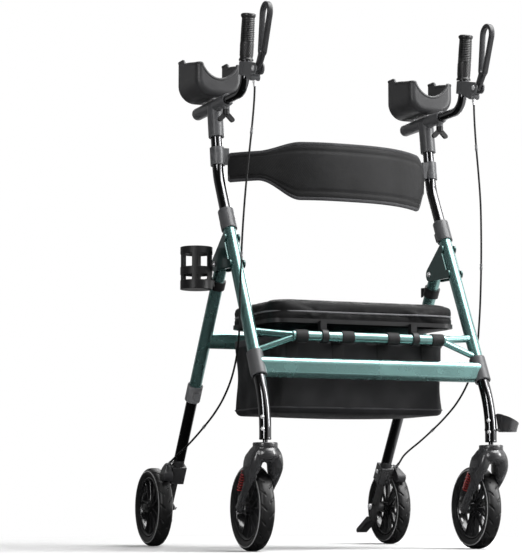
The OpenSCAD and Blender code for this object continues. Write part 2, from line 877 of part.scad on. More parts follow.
module tee_bracket(side) {
    color(mid_grey) on_side(side) difference() {
        union() {
            rod(on_post(tee_u - socket_l), tee, collar_d);
            translate([0, sleeve_y0, handle_z])
                rotate([-90, 0, 0]) cylinder(h = sleeve_l, d = sleeve_d);
            translate([0, screw_y, handle_z - sleeve_d / 2 - screw_boss_h])
                cylinder(h = screw_boss_h + 6, d = screw_boss_d);
        }
        translate([0, sleeve_y0 - over, handle_z])
            rotate([-90, 0, 0]) cylinder(h = sleeve_l + 2 * over, d = handle_bore);
        rod(on_post(tee_u - socket_l - over), on_post(post_top_u + seat_gap), slider_d + 2 * seat_gap);
        translate([0, screw_y, handle_z - sleeve_d / 2 - screw_boss_h - over])
            cylinder(h = sleeve_d / 2 + screw_boss_h, d = screw_d + 2 * pin_gap);
    }
}

// Section across the trough, inset by a wall: a box with round lower corners, open upwards
module trough_section(inset) {
    r = trough_r - inset;
    half = trough_w / 2 - inset;
    translate([-half, trough_z + trough_r]) square([2 * half, trough_h]);
    translate([-half + r, trough_z + inset]) square([2 * half - 2 * r, trough_h]);
    for (x = [-half + r, half - r])
        translate([x, trough_z + trough_r]) circle(r = r);
}

// Moulded cradle: open to the rear, a low front wall that dips in the middle, ears at the rear corners
module arm_trough(side) {
    rim = trough_z + trough_h;
    wall_top = rim - trough_ear;
    ear_y = trough_y0 + trough_l - trough_ear_l;
    color(black) on_side(side) difference() {
        front_plate(trough_y0, trough_l) trough_section(0);
        front_plate(trough_y0 + trough_wall, trough_l) trough_section(trough_wall);
        translate([-trough_w, trough_y0 - over, rim]) cube([2 * trough_w, 2 * trough_l, trough_h]);
        side_plate(-trough_w, 2 * trough_w) polygon([
            [trough_y0 - over, wall_top], [ear_y, wall_top], [ear_y + trough_ear, rim + over],
            [trough_y0 - over, rim + over]
        ]);
        front_plate(trough_y0 - over, trough_wall + 2 * over)
            translate([0, wall_top + trough_dip_r - trough_dip]) circle(r = trough_dip_r);
        for (y = [trough_bolt_y - trough_bolt_pitch / 2, trough_bolt_y + trough_bolt_pitch / 2])
            translate([0, y, trough_z - over])
                cylinder(h = trough_wall + 3 * over, d = trough_bolt_d + 2 * pin_gap);
    }
}

module arm_bolts(side) {
    top = trough_z + trough_wall;
    low = handle_z + sleeve_d / 2 + seat_gap;
    color(steel) on_side(side)
        for (y = [trough_bolt_y - trough_bolt_pitch / 2, trough_bolt_y + trough_bolt_pitch / 2])
            translate([0, y, 0]) {
                translate([0, 0, low]) cylinder(h = top - low + 0.5, d = trough_bolt_d);
                translate([0, 0, low]) cylinder(h = trough_lift - 2 * seat_gap - 0.4, d = bolt_head_d);
                translate([0, 0, top + 0.5]) cylinder(h = bolt_head_h, d1 = bolt_head_d, d2 = trough_bolt_d);
            }
}

module wing_screw(side) {
    z1 = handle_z - handle_bore / 2 - 1.5;
    z0 = handle_z - sleeve_d / 2 - screw_boss_h - seat_gap;
    color(black) on_side(side) translate([0, screw_y, 0]) {
        translate([0, 0, z0]) cylinder(h = z1 - z0, d = screw_d);
        translate([0, 0, z0 - 12]) cylinder(h = 12, d = screw_boss_d);
        front_plate(-4, 8)
            for (way = [-1, 1])
                link2d([0, z0 - 8], 6, [way * (wing_span / 2 - 6), z0 - wing_drop + 10], 5.9);
    }
}

module handle_tube(side) {
    straight = sleeve_y0 + handle_inside - handle_corner_y - handle_tangent;
    upright = grip_v0 + grip_l - grip_end_wall - seat_gap - handle_tangent;
    color(black) on_side(side)
        translate([0, sleeve_y0 + handle_inside, handle_z]) rotate([90, 0, 0])
            swept(bar_rings(straight, handle_turn, handle_bend_r, upright, handle_d / 2));
}

module hand_grip(side) {
    pitch = (grip_l - 24) / grip_ribs;
    deep = 1.6;
    r = grip_d / 2;
    outline = concat(
        [[0, 0], [r + 2, 0], [r + 2, 4], [r, 8]],
        [
            for (i = [0:grip_ribs - 1])
                for (p = [
                    [r, 8 + i * pitch + pitch * 0.1], [r, 8 + i * pitch + pitch * 0.6],
                    [r - deep, 8 + i * pitch + pitch * 0.72], [r - deep, 8 + i * pitch + pitch * 0.95]
                ]) p
        ],
        [[r, grip_l - 14], [r + 1, grip_l - 8], [r - 1, grip_l - 3], [r - 5, grip_l], [0, grip_l]]
    );
    color(rubber) on_side(side) translate(on_grip(grip_v0)) along(grip_dir) difference() {
        rotate_extrude() polygon(outline);
        translate([0, 0, -over])
            cylinder(h = grip_l - grip_end_wall + over, d = handle_d + 2 * seat_gap);
    }
}

// Clamp round the handle tube below the grip, with a fork ahead of it that holds the lever
module brake_housing(side) {
    at = on_grip(54);
    slot = lever_t + 2 * lever_side_gap;
    wide = slot + 2 * housing_cheek;
    color(mid_grey) on_side(side) difference() {
        union() {
            translate(on_grip(housing_t0)) along(grip_dir) cylinder(h = housing_l, d = handle_d + 12);
            side_plate(-wide / 2, wide) {
                link2d([at[1] - 4, at[2]], 17, lever_pivot, 14);
                link2d([at[1] - 12, at[2] - 4], 12, [cable_route[0][1], lever_pivot[1] - 18], 8);
            }
        }
        rod(on_grip(housing_t0 - 4), on_grip(housing_t0 + housing_l + 8), handle_d + 2 * seat_gap);
        translate([-slot / 2, lever_pivot[0] - slot_reach, lever_pivot[1] - lever_root_r - slot_gap])
            cube([slot, slot_reach + lever_root_r + slot_gap, 60]);
        translate([-slot / 2, lever_pivot[0] - slot_reach, lever_pivot[1] - 30])
            cube([slot, slot_reach, 40]);
        translate([-wide, lever_pivot[0], lever_pivot[1]])
            rotate([0, 90, 0]) cylinder(h = 2 * wide, d = lever_pin_d + 2 * pin_gap);
        translate([0, cable_route[0][1], 0])
            cylinder(h = cable_route[0][2] + pin_gap, d = cable_d + 2 * pin_gap);
    }
}

// Closed loop lever with its pivot pin
module brake_lever(side) {
    slot = lever_t + 2 * lever_side_gap;
    wide = slot + 2 * housing_cheek;
    r = lever_loop_w / 2;
    color(dark_grey) on_side(side) {
        side_plate(-lever_t / 2, lever_t) difference() {
            union() {
                link2d(lever_low, lever_low_r, lever_high, r);
                link2d(lever_low, lever_root_r + 5, lever_pivot, lever_root_r);
            }
            link2d(lever_low, lever_low_r - lever_bar, lever_high, r - lever_bar);
        }
        translate([-wide / 2, lever_pivot[0], lever_pivot[1]])
            rotate([0, 90, 0]) cylinder(h = wide, d = lever_pin_d);
    }
}

// Band round the post with an inboard plate for the belt
module belt_clamp(side) {
    color(black) on_side(side) difference() {
        union() {
            rod(on_post(clamp_u), on_post(clamp_u + clamp_h), slider_d + 2 * seat_gap + 2 * clamp_wall);
            translate([-slider_d / 2 - clamp_reach, belt_y - clamp_plate_t / 2, on_post(clamp_u)[2] + 2])
                cube([slider_d / 2 + clamp_reach, clamp_plate_t, clamp_h - 4]);
        }
        rod(on_post(clamp_u - over), on_post(clamp_u + clamp_h + over), slider_d + 2 * seat_gap);
    }
}

// Back belt: a strip bowed forward in plan, wide in its middle and narrow at its ends
function belt_bow_y(s) = belt_y - belt_bow * (1 - pow(abs(s), 2.6));
function belt_narrow(s) =
    let (k = min(1, max(0, s < 0 ? (-s - belt_left_s) / belt_left_run : (s - belt_right_s) / belt_right_run)))
    k * k * (3 - 2 * k);
function belt_half_h(s) = (belt_h + (belt_end_h - belt_h) * belt_narrow(s)) / 2;
function belt_mid_z(s) = belt_z - belt_drop * (1 - belt_narrow(s));
function belt_s(i) = -1 + 2 * i / belt_steps;

module back_belt() {
    plan = concat(
        [for (i = [0:belt_steps]) [belt_half * belt_s(i), belt_bow_y(belt_s(i)) - belt_t / 2]],
        [for (i = [belt_steps:-1:0]) [belt_half * belt_s(i), belt_bow_y(belt_s(i)) + belt_t / 2]]
    );
    face = concat(
        [for (i = [0:belt_steps]) [belt_half * belt_s(i), belt_mid_z(belt_s(i)) - belt_half_h(belt_s(i))]],
        [for (i = [belt_steps:-1:0]) [belt_half * belt_s(i), belt_mid_z(belt_s(i)) + belt_half_h(belt_s(i))]]
    );
    color(black) intersection() {
        translate([0, 0, belt_z - belt_h]) linear_extrude(2 * belt_h) polygon(plan);
        front_plate(belt_y - 2 * belt_bow, 4 * belt_bow) polygon(face);
    }
}

// Lower part

// Bent tube with the caster stem in its foot
module front_lower_leg(side) {
    foot_z = fork_top_z + stem_top_gap;
    top_t = front_leg_t0 + front_overlap;
    straight = knee_z - knee_tangent - foot_z;
    color(black) on_side(side) translate([0, -trail, foot_z])
        swept(concat(
            [bar_ring(0, stem_bottom_z - foot_z, 0, stem_d / 2), bar_ring(0, 0, 0, stem_d / 2)],
            bar_rings(straight, front_lean, knee_r, top_t - knee_tangent, slider_d / 2)
        ));
}

module cane_cup() {
    color(black) translate([0, -trail, 0]) difference() {
        union() {
            translate([cane_x, 0, cane_z]) cylinder(h = cane_h, d = cane_d);
            translate([leg_x, 0, cane_band_z]) cylinder(h = cane_band_h, d = slider_d + 2 * cane_wall);
            translate([leg_x + slider_d / 2 + 2, -9, cane_band_z])
                cube([cane_x - leg_x - slider_d / 2 - 2, 18, cane_z - cane_band_z + cane_h / 2]);
        }
        translate([cane_x, 0, cane_z + cane_wall]) cylinder(h = cane_h, d = cane_d - 2 * cane_wall);
        translate([leg_x, 0, cane_band_z - over])
            cylinder(h = cane_band_h + 2 * over, d = slider_d + 2 * seat_gap);
    }
}

// Moulded fork: a round-shouldered crown that flows into two raked arms, with an arch over the tyre
module fork(side) {
    bore = stem_d + 2 * pin_gap;
    neck_r = fork_cap_d / 2;
    color(dark_grey) on_side(side) {
        difference() {
            union() {
                intersection() {
                    side_plate(-arm_outer, 2 * arm_outer)
                        link2d(crown, fork_crown_r, [0, wheel_r], fork_tip_r);
                    front_plate(-2 * trail, 3 * trail) {
                        translate([-arm_outer, 0]) square([2 * arm_outer, arch_z]);
                        translate([0, arch_z]) circle(r = arm_outer);
                    }
                }
                translate([0, -trail, 0]) rotate_extrude() polygon([
                    [0, arch_z], [neck_r + 3, arch_z], [neck_r + 5, fork_top_z - fork_ring_h - 20],
                    [neck_r + 2, fork_top_z - fork_ring_h - 7], [neck_r - 2, fork_top_z - fork_ring_h],
                    [neck_r, fork_top_z - fork_ring_h],
                    [neck_r, fork_top_z], [0, fork_top_z]
                ]);
            }
            front_plate(-2 * trail, 3 * trail) {
                translate([-arm_inner, 0]) square([2 * arm_inner, arch_z]);
                translate([0, arch_z]) circle(r = arm_inner);
            }
            translate([0, -trail, stem_bottom_z - pin_gap]) cylinder(h = fork_top_z, d = bore);
            translate([-arm_outer - over, 0, wheel_r])
                rotate([0, 90, 0]) cylinder(h = 2 * arm_outer + 2 * over, d = axle_d + 2 * seat_gap);
            for (way = [-1, 1])
                mirrored(way) spring_pocket();
        }
        cross_bolt(0, wheel_r, -arm_outer - seat_gap, arm_outer + seat_gap, axle_d);
    }
}

// Axis of a fork spring: it lies in a notch in the rear edge of a fork arm
module spring_place() {
    translate([(arm_inner + arm_outer) / 2, crown[0], crown[1]])
        rotate([180 + fork_angle, 0, 0]) translate([0, -spring_back, spring_from]) children();
}

module spring_pocket() {
    long = spring_l + 2 * spring_pocket_gap;
    wide = spring_d + 2 * spring_pocket_gap;
    spring_place()
        translate([-wide / 2 - over, -spring_mouth, -spring_pocket_gap])
            cube([wide + 2 * over, spring_mouth + wide / 2, long]);
}

function spring_ring(i) =
    let (
        a = 360 * i / spring_rings,
        z = spring_wire / 2 + spring_pitch * i / spring_rings,
        rise = atan2(spring_pitch, 2 * PI * spring_r),
        out = [cos(a), sin(a), 0],
        upw = [sin(a) * sin(rise), -cos(a) * sin(rise), cos(rise)]
    )
    [
        for (k = [0:spring_sides - 1])
            let (b = 360 * k / spring_sides)
            spring_r * out + [0, 0, z] + spring_wire / 2 * (cos(b) * out + sin(b) * upw)
    ];

spring_points = [for (i = [0:spring_turns * spring_rings]) spring_ring(i)];
spring_self_gap = min([
    for (i = [0:spring_rings * (spring_turns - 1)])
        for (p = spring_points[i])
            for (q = spring_points[i + spring_rings])
                norm(p - q)
]);
echo(spring_self_gap = spring_self_gap);

module fork_springs(side) {
    color(red) on_side(side)
        for (way = [-1, 1])
            mirrored(way) spring_place() swept(spring_points);
}

// Wheels, drawn about their own axles at the origin

module wheel_tyre() {
    r = wheel_r;
    w = tyre_w / 2;
    inner = tyre_seat_d / 2;
    rotate([0, 90, 0]) rotate_extrude() intersection() {
        translate([inner, -w]) square([tyre_h, 2 * w]);
        union() {
            translate([r - 16, 0]) tread_section(16, w);
            translate([inner, -rim_w / 2]) square([tyre_h - 10, rim_w]);
        }
    }
}

// Flat round-shouldered section of the tread
module tread_section(h, w) {
    translate([-h, -w + 2]) square([h - 4, 2 * w - 4]);
    translate([0, -w + 12]) square([h, 2 * w - 24]);
    for (way = [-1, 1]) {
        translate([h - 12, way * (w - 12)]) circle(r = 12);
        translate([-h + 8, way * (w - 6)]) circle(r = 6);
    }
}

module wheel_rim() {
    ring_r = tyre_seat_d / 2 - seat_gap;
    ring_in = ring_r - rim_h;
    end = hub_l / 2;
    bore_r = axle_d / 2 + pin_gap;
    half_hub = [
        [bearing_d / 2 - 2.5, end], [bearing_d / 2 - 2.5, end - 1], [bearing_d / 2, end - 1],
        [bearing_d / 2, end], [hub_d / 2 - 6, end], [hub_d / 2 - 3, end - 6], [hub_d / 2, hub_band]
    ];
    rotate([0, 90, 0]) rotate_extrude() polygon([
        [ring_in, -rim_w / 2 + 3], [ring_in + 4, -rim_flat], [ring_in + 4, rim_flat],
        [ring_in, rim_w / 2 - 3], [ring_r, rim_w / 2 - 1], [ring_r, -rim_w / 2 + 1]
    ]);
    rotate([0, 90, 0]) rotate_extrude() polygon(concat(
        [[bore_r, -end], [bore_r, end]], half_hub,
        [for (i = [len(half_hub) - 1:-1:0]) [half_hub[i][0], -half_hub[i][1]]]
    ));
    for (i = [0:spoke_count - 1])
        rotate([360 * (i + 0.5) / spoke_count, 0, 0])
            translate([-spoke_deep / 2, -spoke_t / 2, hub_d / 2 - spoke_sink])
                cube([spoke_deep, spoke_t, ring_in + 4 + spoke_sink - hub_d / 2 + spoke_sink]);
}

module at_front_axle(side) {
    on_side(side) translate([0, 0, wheel_r]) children();
}

module at_rear_axle(side) {
    mirrored(side) translate([rear_wheel_x, wheelbase, wheel_r]) children();
}

module front_tyre(side) {
    color(rubber) at_front_axle(side) wheel_tyre();
}

module front_rim(side) {
    color(black) at_front_axle(side) wheel_rim();
}

module rear_tyre(side) {
    color(rubber) at_rear_axle(side) wheel_tyre();
}

module rear_rim(side) {
    color(black) at_rear_axle(side) wheel_rim();
}

// Sliding rear tube with its axle, and the flat bar that runs on past the axle to a kerb pedal
module rear_lower_leg(side) {
    axle_x = rear_wheel_x - leg_x;
    outer_x = axle_x + hub_l / 2;
    top_t = rear_leg_t0 + rear_overlap;
    foot_t = bracket_t0 + foot_in;
    blade_top = on_rear(bracket_t0 + blade_in);
    blade_low = on_rear(blade_t0);
    color(black) on_side(side) {
        difference() {
            rod(on_rear(foot_t), on_rear(top_t), slider_d);
            rod(on_rear(foot_t + foot_plug), on_rear(top_t + over), slider_d - 2 * tube_wall);
        }
        side_plate(-blade_t / 2, blade_t)
            link2d([blade_top[1], blade_top[2]], blade_w / 2, [blade_low[1], blade_low[2]], blade_w / 2 - 1);
        side_plate(-pedal_w / 2, pedal_w)
            link2d([blade_low[1], blade_low[2]], pedal_t / 2, pedal_tip, pedal_t / 2 - 1);
        translate([-blade_t / 2 - nut_h / 2, rear_axle[1], wheel_r])
            rotate([0, 90, 0]) cylinder(h = outer_x + nut_h + blade_t / 2 + nut_h / 2, d = axle_d);
        translate([-blade_t / 2 - nut_h, rear_axle[1], wheel_r])
            rotate([0, 90, 0]) cylinder(h = nut_h + over, d = nut_d);
        translate([blade_t / 2 - over, rear_axle[1], wheel_r])
            rotate([0, 90, 0])
                cylinder(h = axle_x - hub_l / 2 - spacer_gap - blade_t / 2 + over, d = spacer_d);
        translate([outer_x + 2 * pin_gap, rear_axle[1], wheel_r])
            rotate([0, 90, 0]) cylinder(h = nut_h, d = nut_d);
    }
}

// Brake bracket: a box round the rear tube with a cheek each side of the shoe's arm
module brake_bracket(side) {
    half = slider_d / 2 + seat_gap + bracket_wall;
    at = on_rear(shoe_pivot_t);
    color(mid_grey) on_side(side) difference() {
        union() {
            translate(on_rear(bracket_t0)) along(rear_dir) rotate([0, 0, 90])
                translate([-half, -half, 0]) cube([2 * half, 2 * half, bracket_l]);
            translate([half - over, at[1], at[2]])
                rotate([0, 90, 0]) cylinder(h = boss_h + over, d = boss_d);
        }
        rod(on_rear(bracket_t0 - 20), on_rear(bracket_t0 + bracket_l + 20), slider_d + 2 * seat_gap);
        translate([half - 12, at[1], at[2]])
            rotate([0, 90, 0]) cylinder(h = 60, d = lever_pin_d + 2 * pin_gap);
    }
}

// Brake shoe: an arm on a pin in the bracket, with a pad that follows the tread
module brake_shoe(side) {
    half = slider_d / 2 + seat_gap + bracket_wall;
    at = on_rear(shoe_pivot_t);
    arm_x = half + boss_h + 2 * pin_gap;
    pad_r = wheel_r + shoe_gap;
    pad = [wheelbase - shoe_at * sin(shoe_angle), wheel_r + shoe_at * cos(shoe_angle)];
    end_x = rear_wheel_x - leg_x + shoe_w / 2;
    color(dark_grey) on_side(side) {
        translate([half - bracket_wall, at[1], at[2]])
            rotate([0, 90, 0]) cylinder(h = bracket_wall + arm_x - half + shoe_arm_t, d = lever_pin_d);
        difference() {
            intersection() {
                side_plate(arm_x, end_x - arm_x) link2d([at[1], at[2]], shoe_r, pad, shoe_r + 1);
                front_plate(pad[0] - 2 * shoe_r, at[1] - pad[0] + 4 * shoe_r) polygon([
                    [arm_x - over, wheel_r], [arm_x - over, at[2] + 2 * shoe_r],
                    [arm_x + shoe_arm_t, at[2] + 2 * shoe_r], [arm_x + shoe_arm_t, at[2] + shoe_r + over],
                    [end_x + over, pad[1] + shoe_slope], [end_x + over, wheel_r]
                ]);
            }
            translate([0, wheelbase, wheel_r])
                rotate([0, 90, 0]) cylinder(h = end_x + hub_l, r = pad_r);
        }
    }
}

placed() front_leg(-1);  // front_leg_left
placed() front_leg(1);  // front_leg_right
placed() front_crossbar();
placed() seat_tube();
placed() fold_brackets();
placed() leg_collars();
placed() frame_bolts();
placed() storage_bag();
placed() brake_cable(-1);  // brake_cable_left
placed() brake_cable(1);  // brake_cable_right
placed() rear_leg(-1);  // rear_leg_left
placed() rear_leg(1);  // rear_leg_right
placed() rear_crossbar();
placed() rear_collars();
placed() cup_holder();
placed() cane_clip();
placed() seat_board();
placed() seat_cushion();
placed() post(-1);  // post_left
placed() post(1);  // post_right
placed() tee_bracket(-1);  // tee_bracket_left
placed() tee_bracket(1);  // tee_bracket_right
placed() arm_trough(-1);  // arm_trough_left
placed() arm_trough(1);  // arm_trough_right
placed() arm_bolts(-1);  // arm_bolts_left
placed() arm_bolts(1);  // arm_bolts_right
placed() belt_clamp(-1);  // belt_clamp_left
placed() belt_clamp(1);  // belt_clamp_right
placed() back_belt();
placed() handle_tube(-1);  // handle_tube_left
placed() handle_tube(1);  // handle_tube_right
placed() hand_grip(-1);  // hand_grip_left
placed() hand_grip(1);  // hand_grip_right
placed() brake_housing(-1);  // brake_housing_left
placed() brake_housing(1);  // brake_housing_right
placed() brake_lever(-1);  // brake_lever_left
placed() brake_lever(1);  // brake_lever_right
placed() wing_screw(-1);  // wing_screw_left
placed() wing_screw(1);  // wing_screw_right
placed() front_lower_leg(-1);  // front_lower_leg_left
placed() front_lower_leg(1);  // front_lower_leg_right
placed() cane_cup();
placed() fork(-1);  // fork_left
placed() fork(1);  // fork_right
placed() fork_springs(-1);  // fork_springs_left
placed() fork_springs(1);  // fork_springs_right
placed() front_tyre(-1);  // front_tyre_left
placed() front_tyre(1);  // front_tyre_right
placed() front_rim(-1);  // front_rim_left
placed() front_rim(1);  // front_rim_right
placed() rear_tyre(-1);  // rear_tyre_left
placed() rear_tyre(1);  // rear_tyre_right
placed() rear_rim(-1);  // rear_rim_left
placed() rear_rim(1);  // rear_rim_right
placed() rear_lower_leg(-1);  // rear_lower_leg_left
placed() rear_lower_leg(1);  // rear_lower_leg_right
placed() brake_bracket(-1);  // brake_bracket_left
placed() brake_bracket(1);  // brake_bracket_right
placed() brake_shoe(-1);  // brake_shoe_left
placed() brake_shoe(1);  // brake_shoe_right
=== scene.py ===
"""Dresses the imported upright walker: soft goods, cables, moulded parts, finishes, light and camera.

Sizes are millimetres in the drawing's own frame: X = 0 is the mid-plane, Y = 0 the front axle and Y grows
to the rear, Z = 0 the floor. row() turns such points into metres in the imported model's frame.
"""

import logging
from dataclasses import dataclass
from enum import Enum
from typing import Union

import bmesh
import bpy
import numpy as np
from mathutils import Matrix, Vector


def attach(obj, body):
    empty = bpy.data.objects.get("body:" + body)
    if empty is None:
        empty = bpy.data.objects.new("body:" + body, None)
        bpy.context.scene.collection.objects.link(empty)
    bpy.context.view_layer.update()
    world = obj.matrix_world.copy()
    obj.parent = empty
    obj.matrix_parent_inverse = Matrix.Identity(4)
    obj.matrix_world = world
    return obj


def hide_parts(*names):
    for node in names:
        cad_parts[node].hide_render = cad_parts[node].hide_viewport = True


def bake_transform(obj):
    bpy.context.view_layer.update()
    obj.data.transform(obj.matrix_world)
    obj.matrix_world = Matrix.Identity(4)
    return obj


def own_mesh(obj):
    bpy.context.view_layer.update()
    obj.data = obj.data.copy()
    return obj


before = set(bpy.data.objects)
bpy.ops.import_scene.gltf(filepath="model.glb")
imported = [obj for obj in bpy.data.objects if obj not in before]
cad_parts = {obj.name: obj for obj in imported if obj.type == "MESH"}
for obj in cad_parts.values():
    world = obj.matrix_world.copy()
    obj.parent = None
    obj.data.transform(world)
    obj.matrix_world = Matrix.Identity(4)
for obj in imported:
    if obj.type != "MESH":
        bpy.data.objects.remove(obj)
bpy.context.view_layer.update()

log = logging.getLogger("walker")
Array = np.ndarray
MM = 0.001
MERGE = 2e-6
SWELL_STEPS = 20
SHIFT = np.array([16.45, -279.862, 0.0])
LEG_X, STEM_Y = 300.0, -80.0
WHEEL_R, WHEELBASE, REAR_WHEEL_X = 101.5, 573.0, 343.0
KNEE_Z, BEND_Z, HANDLE_Z = 341.0, 930.0, 1112.0


def lean(degrees: float) -> Array:
    """Unit vector in the plane X = 0, tipped to the rear from upright by so many degrees."""
    tip = np.radians(degrees)
    return np.array([0.0, np.sin(tip), np.cos(tip)])


FRONT_DIR, REAR_DIR, POST_DIR, GRIP_DIR = lean(27.3), lean(-31.8), lean(8.2), lean(-7.6)
KNEE = np.array([0.0, STEM_Y, KNEE_Z])
POST_BEND = KNEE + (BEND_Z - KNEE_Z) / FRONT_DIR[2] * FRONT_DIR


class Side(Enum):
    """The two sides of the walker, with the sign of their X."""

    LEFT = -1
    RIGHT = 1

    @property
    def word(self) -> str:
        """The side's word in node and body names."""
        return self.name.lower()


def row(points: Array) -> Array:
    """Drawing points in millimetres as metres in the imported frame."""
    return (np.asarray(points, float) + SHIFT) * MM


def unit(v: Array) -> Array:
    """Vectors divided by their lengths."""
    v = np.asarray(v, float)
    return v / np.maximum(np.linalg.norm(v, axis=-1, keepdims=True), 1e-12)


def ease(x: Array, low: float, high: float) -> Array:
    """Smooth step from 0 at low to 1 at high: 3k^2 - 2k^3."""
    k = np.clip((np.asarray(x, float) - low) / (high - low), 0, 1)
    return k * k * (3 - 2 * k)


# Shader tree.


class Sock:
    """A shader socket whose arithmetic adds Math nodes."""

    def __init__(self, tree: "Tree", out: bpy.types.NodeSocket) -> None:
        """Wraps one output socket of a tree."""
        self.tree = tree
        self.out = out

    def __add__(self, other: "Value") -> "Sock":
        """Sum."""
        return self.tree.math("ADD", self, other)

    __radd__ = __add__

    def __sub__(self, other: "Value") -> "Sock":
        """Difference."""
        return self.tree.math("SUBTRACT", self, other)

    def __rsub__(self, other: "Value") -> "Sock":
        """Difference from a value on the left."""
        return self.tree.math("SUBTRACT", other, self)

    def __mul__(self, other: "Value") -> "Sock":
        """Product."""
        return self.tree.math("MULTIPLY", self, other)

    __rmul__ = __mul__

    def fade(self, low: float, high: float) -> "Sock":
        """Smooth step of the value from 0 at low to 1 at high."""
        return self.tree.node(
            "ShaderNodeMapRange", {"interpolation_type": "SMOOTHSTEP"}, {0: self, 1: low, 2: high}
        )


Value = Union[Sock, float]


class Tree:
    """A material's or the world's nodes, with one method for every node and one for arithmetic."""

    def __init__(self, block: Union[bpy.types.Material, bpy.types.World]) -> None:
        """Turns a block's nodes on and empties them."""
        block.use_nodes = True
        self.nodes = block.node_tree
        self.nodes.nodes.clear()

    def node(self, kind: str, settings: Union[dict, None] = None, inputs: Union[dict, None] = None,
             out: Union[int, str] = 0) -> Sock:
        """Adds a node.

        Args:
            kind: the node's type.
            settings: its properties, set first.
            inputs: values or sockets for its inputs, by number or name.
            out: number or name of the output to return.

        Returns:
            The chosen output.
        """
        made = self.nodes.nodes.new(kind)
        for key, value in (settings or {}).items():
            setattr(made, key, value)
        for key, value in (inputs or {}).items():
            if isinstance(value, Sock):
                self.nodes.links.new(value.out, made.inputs[key])
            else:
                made.inputs[key].default_value = value
        return Sock(self, made.outputs[out] if made.outputs else None)

    def outs(self, kind: str, names: tuple, inputs: Union[dict, None] = None) -> list:
        """Several named outputs of one new node."""
        made = self.node(kind, None, inputs).out.node
        return [Sock(self, made.outputs[name]) for name in names]

    def math(self, operation: str, *values: Value) -> Sock:
        """A Math node on values or sockets."""
        return self.node("ShaderNodeMath", {"operation": operation}, dict(enumerate(values)))

    def mix(self, share: Value, one: Union[Sock, tuple], two: Union[Sock, tuple]) -> Sock:
        """One colour going over to another by a share."""
        ends = [c if isinstance(c, Sock) else (*c, 1.0) for c in (one, two)]
        inputs = {"Factor": share, 6: ends[0], 7: ends[1]}
        return self.node("ShaderNodeMix", {"data_type": "RGBA"}, inputs, out=2)

    def place(self) -> Sock:
        """Object coordinates."""
        return self.node("ShaderNodeTexCoord", out="Object")

    def noise(self, scale: float, detail: float = 3.0, stretch: tuple = (1.0, 1.0, 1.0)) -> Sock:
        """Noise over Object coordinates, in waves per metre, stretched along axes."""
        at = self.node("ShaderNodeMapping", None, {"Vector": self.place(), "Scale": stretch})
        return self.node("ShaderNodeTexNoise", None, {"Vector": at, "Scale": scale, "Detail": detail})

    def bump(self, height: Sock, depth: float, strength: float = 1.0) -> Sock:
        """A Bump node over a height, with its depth in metres."""
        return self.node(
            "ShaderNodeBump", None, {"Height": height, "Distance": depth, "Strength": strength}, out="Normal"
        )


SHOP: dict = {}


@dataclass(frozen=True)
class Finish:
    """What every finish has: a name, a colour and a roughness."""

    name: str
    colour: tuple
    rough: float = 0.5

    def sockets(self, tree: Tree) -> dict:
        """Inputs of the Principled shader."""
        return {"Base Color": (*self.colour, 1.0), "Roughness": self.rough}

    def material(self) -> bpy.types.Material:
        """The finish's material, made once.

        Returns:
            The material.
        """
        if self.name not in SHOP:
            made = bpy.data.materials.new(self.name)
            tree = Tree(made)
            shader = tree.node("ShaderNodeBsdfPrincipled", None, self.sockets(tree))
            tree.node("ShaderNodeOutputMaterial", None, {"Surface": shader})
            made.diffuse_color = (*self.colour, 1.0)
            SHOP[self.name] = made
        return SHOP[self.name]


def lighter(colour: tuple, by: float) -> tuple:
    """A colour multiplied by a number, held to 1."""
    return tuple(min(1.0, c * by) for c in colour)


@dataclass(frozen=True)
class Paint(Finish):
    """Sprayed tube paint: metal flake under a clear coat, orange peel and rubbed patches."""

    metal: float = 0.8
    coat: float = 0.6
    flake: float = 1.35
    peel: float = 0.00012

    def sockets(self, tree: Tree) -> dict:
        """Flakes scatter the colour, slow smudges move the roughness, orange peel bends the normal.

        Args:
            tree: the material's nodes.

        Returns:
            Inputs of the Principled shader.
        """
        fleck = tree.noise(2600.0, 1.0).fade(0.52, 0.7)
        smudge = tree.noise(14.0, 4.0)
        colour = tree.mix(fleck, self.colour, lighter(self.colour, self.flake))
        peel = tree.noise(420.0, 2.0)
        return {
            "Base Color": colour,
            "Metallic": self.metal,
            "Roughness": self.rough + 0.12 * smudge.fade(0.45, 0.8),
            "Coat Weight": self.coat,
            "Coat Roughness": 0.06,
            "Normal": tree.bump(peel, self.peel, 0.35),
        }


@dataclass(frozen=True)
class FootPaint(Paint):
    """Tube paint that is dark and dull on the flat bar and pedal below a height."""

    bar_top: float = 0.215
    bar_colour: tuple = (0.03, 0.03, 0.031)
    bar_rough: float = 0.45

    def sockets(self, tree: Tree) -> dict:
        """The paint's inputs, mixed with the bar's by the height of the place.

        Args:
            tree: the material's nodes.

        Returns:
            Inputs of the Principled shader.
        """
        made = super().sockets(tree)
        height = tree.node("ShaderNodeSeparateXYZ", None, {0: tree.place()}, out="Z")
        tube = height.fade(self.bar_top, self.bar_top + 0.006)
        made["Base Color"] = tree.mix(tube, self.bar_colour, self.colour)
        made["Roughness"] = self.bar_rough - (self.bar_rough - self.rough) * tube
        made["Metallic"] = self.metal * tube
        return made


